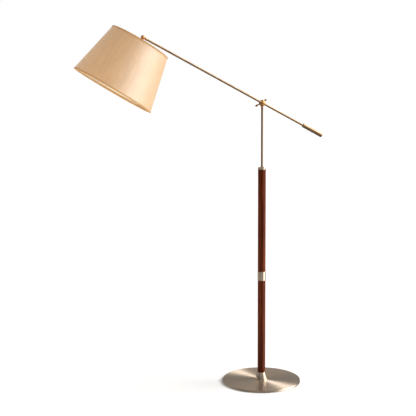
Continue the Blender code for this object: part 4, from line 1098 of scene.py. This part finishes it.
# %% Floor
FLOOR_HALF = 40.0
floor_corners = FLOOR_HALF * np.array([(-1, -1, 0), (1, -1, 0), (1, 1, 0), (-1, 1, 0)])
floor_mesh = bpy.data.meshes.new("studio_floor")
floor_mesh.from_pydata(floor_corners.tolist(), [], [(0, 1, 2, 3)])
studio_floor = bpy.data.objects.new("studio_floor", floor_mesh)
bpy.context.scene.collection.objects.link(studio_floor)
pale = bpy.data.materials.new("pale_floor")
pale.use_nodes = True
pale_shader = pale.node_tree.nodes["Principled BSDF"]
pale_shader.inputs["Base Color"].default_value = (0.86, 0.86, 0.86, 1.0)
pale_shader.inputs["Roughness"].default_value = 0.9
pale_shader.inputs["Specular IOR Level"].default_value = 0.0
floor_mesh.materials.append(pale)
studio_floor.visible_glossy = False
print("floor half width: %.0f m" % FLOOR_HALF)


# %% Lights
def lamp(name, kind, energy, azimuth, elevation, aim=(0.0, 0.0, 0.8), distance=3.0,
         in_reflections=True, **settings):
    """A light aimed at a point, in degrees. Its azimuth runs from the front towards the right, and its
    elevation is above the point's level."""
    data = bpy.data.lights.new(name, kind)
    data.energy = energy
    for key, value in settings.items():
        setattr(data, key, value)
    made = bpy.data.objects.new(name, data)
    bpy.context.scene.collection.objects.link(made)
    azimuth, elevation = math.radians(azimuth), math.radians(elevation)
    level = math.cos(elevation)
    towards = np.array([level * math.sin(azimuth), -level * math.cos(azimuth), math.sin(elevation)])
    made.location = np.asarray(aim) + towards * distance
    made.rotation_euler = (math.pi / 2 - elevation, 0.0, azimuth)
    made.visible_glossy = in_reflections
    print("light:", name)
    return made


shade_middle = np.mean(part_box("shade_shell"), axis=0)
lamp("key", "SUN", 4.0, 90.0, 34.0, angle=math.radians(40.0))
lamp("shade_fill", "SPOT", 340.0, -62.0, -22.0, aim=shade_middle, in_reflections=False,
     color=(1.0, 0.82, 0.58), spot_size=math.radians(16.0), spot_blend=0.5, shadow_soft_size=0.25)

# %% Room
room = bpy.data.worlds.new("room")
room.use_nodes = True
bpy.context.scene.world = room
tree = room.node_tree
tree.nodes.clear()


def room_node(kind, inputs=None, **settings):
    """A new node in the room's light."""
    made = tree.nodes.new("ShaderNode" + kind)
    for key, value in settings.items():
        setattr(made, key, value)
    for key, value in (inputs or {}).items():
        if isinstance(value, bpy.types.NodeSocket):
            tree.links.new(value, made.inputs[key])
        else:
            made.inputs[key].default_value = value
    return made


def room_range(value, start, stop, low, high):
    """A number that runs from low to high while the value runs from start to stop, with soft ends."""
    ends = {"From Min": start, "From Max": stop, "To Min": low, "To Max": high}
    made = room_node("MapRange", {"Value": value, **ends}, interpolation_type="SMOOTHSTEP")
    return made.outputs["Result"]


def room_math(operation, first, second):
    """The sum or the product of two numbers."""
    return room_node("Math", {0: first, 1: second}, operation=operation).outputs["Value"]


direction = room_node("TexCoord").outputs["Generated"]
parts = room_node("SeparateXYZ", {"Vector": direction})
height = parts.outputs["Z"]
flat_way = room_node("CombineXYZ", {"X": parts.outputs["X"], "Y": parts.outputs["Y"]}).outputs["Vector"]
flat_way = room_node("VectorMath", {0: flat_way}, operation="NORMALIZE").outputs["Vector"]


def room_wall(azimuth, half_width, soft, strength):
    """An upright bright wall of the room, as seen from the lamp. It fades out at its sides and towards
    the ceiling: its brightness is a smooth step of the cosine of the angle from its middle."""
    middle, edge = math.radians(azimuth), math.radians(half_width)
    facing = room_node("VectorMath", {0: flat_way, 1: (math.sin(middle), -math.cos(middle), 0.0)},
                       operation="DOT_PRODUCT").outputs["Value"]
    across = room_range(facing, math.cos(edge + math.radians(soft)), math.cos(edge), 0.0, strength)
    return room_math("MULTIPLY", across, room_range(height, 0.85, 0.5, 0.0, 1.0))


OVERHEAD, FRONT, BACKDROP, FLOOR_GLOW, EVERYWHERE = 0.38, 0.12, 0.16, 0.24, 0.08
overhead = room_range(height, 0.1, 0.9, 0.0, OVERHEAD)
front = room_range(parts.outputs["Y"], -0.2, -0.9, 0.0, FRONT)
behind = room_range(parts.outputs["Y"], 0.0, 0.8, 0.0, BACKDROP)
backdrop = room_math("MULTIPLY", behind, room_range(height, 0.0, 0.2, 0.0, 1.0))
below = room_range(height, 0.02, -0.3, 0.0, FLOOR_GLOW)
brightness = room_math("ADD", room_math("ADD", overhead, front), room_math("ADD", backdrop, below))
for wall in (room_wall(66.0, 20.0, 12.0, 1.8), room_wall(-125.0, 25.0, 20.0, 0.16)):
    brightness = room_math("ADD", brightness, wall)
brightness = room_math("ADD", brightness, EVERYWHERE)
gradient = room_node("Background", {"Color": (1.0, 0.97, 0.93, 1.0), "Strength": brightness})
white = room_node("Background", {"Color": (1.0, 1.0, 1.0, 1.0), "Strength": 1.0})
ray = room_node("LightPath")
mixed = room_node("MixShader", {
    0: ray.outputs["Is Camera Ray"], 1: gradient.outputs["Background"], 2: white.outputs["Background"],
})
room_node("OutputWorld", {"Surface": mixed.outputs["Shader"]})
bpy.context.scene.view_settings.view_transform = "Standard"
print("room nodes:", len(tree.nodes))
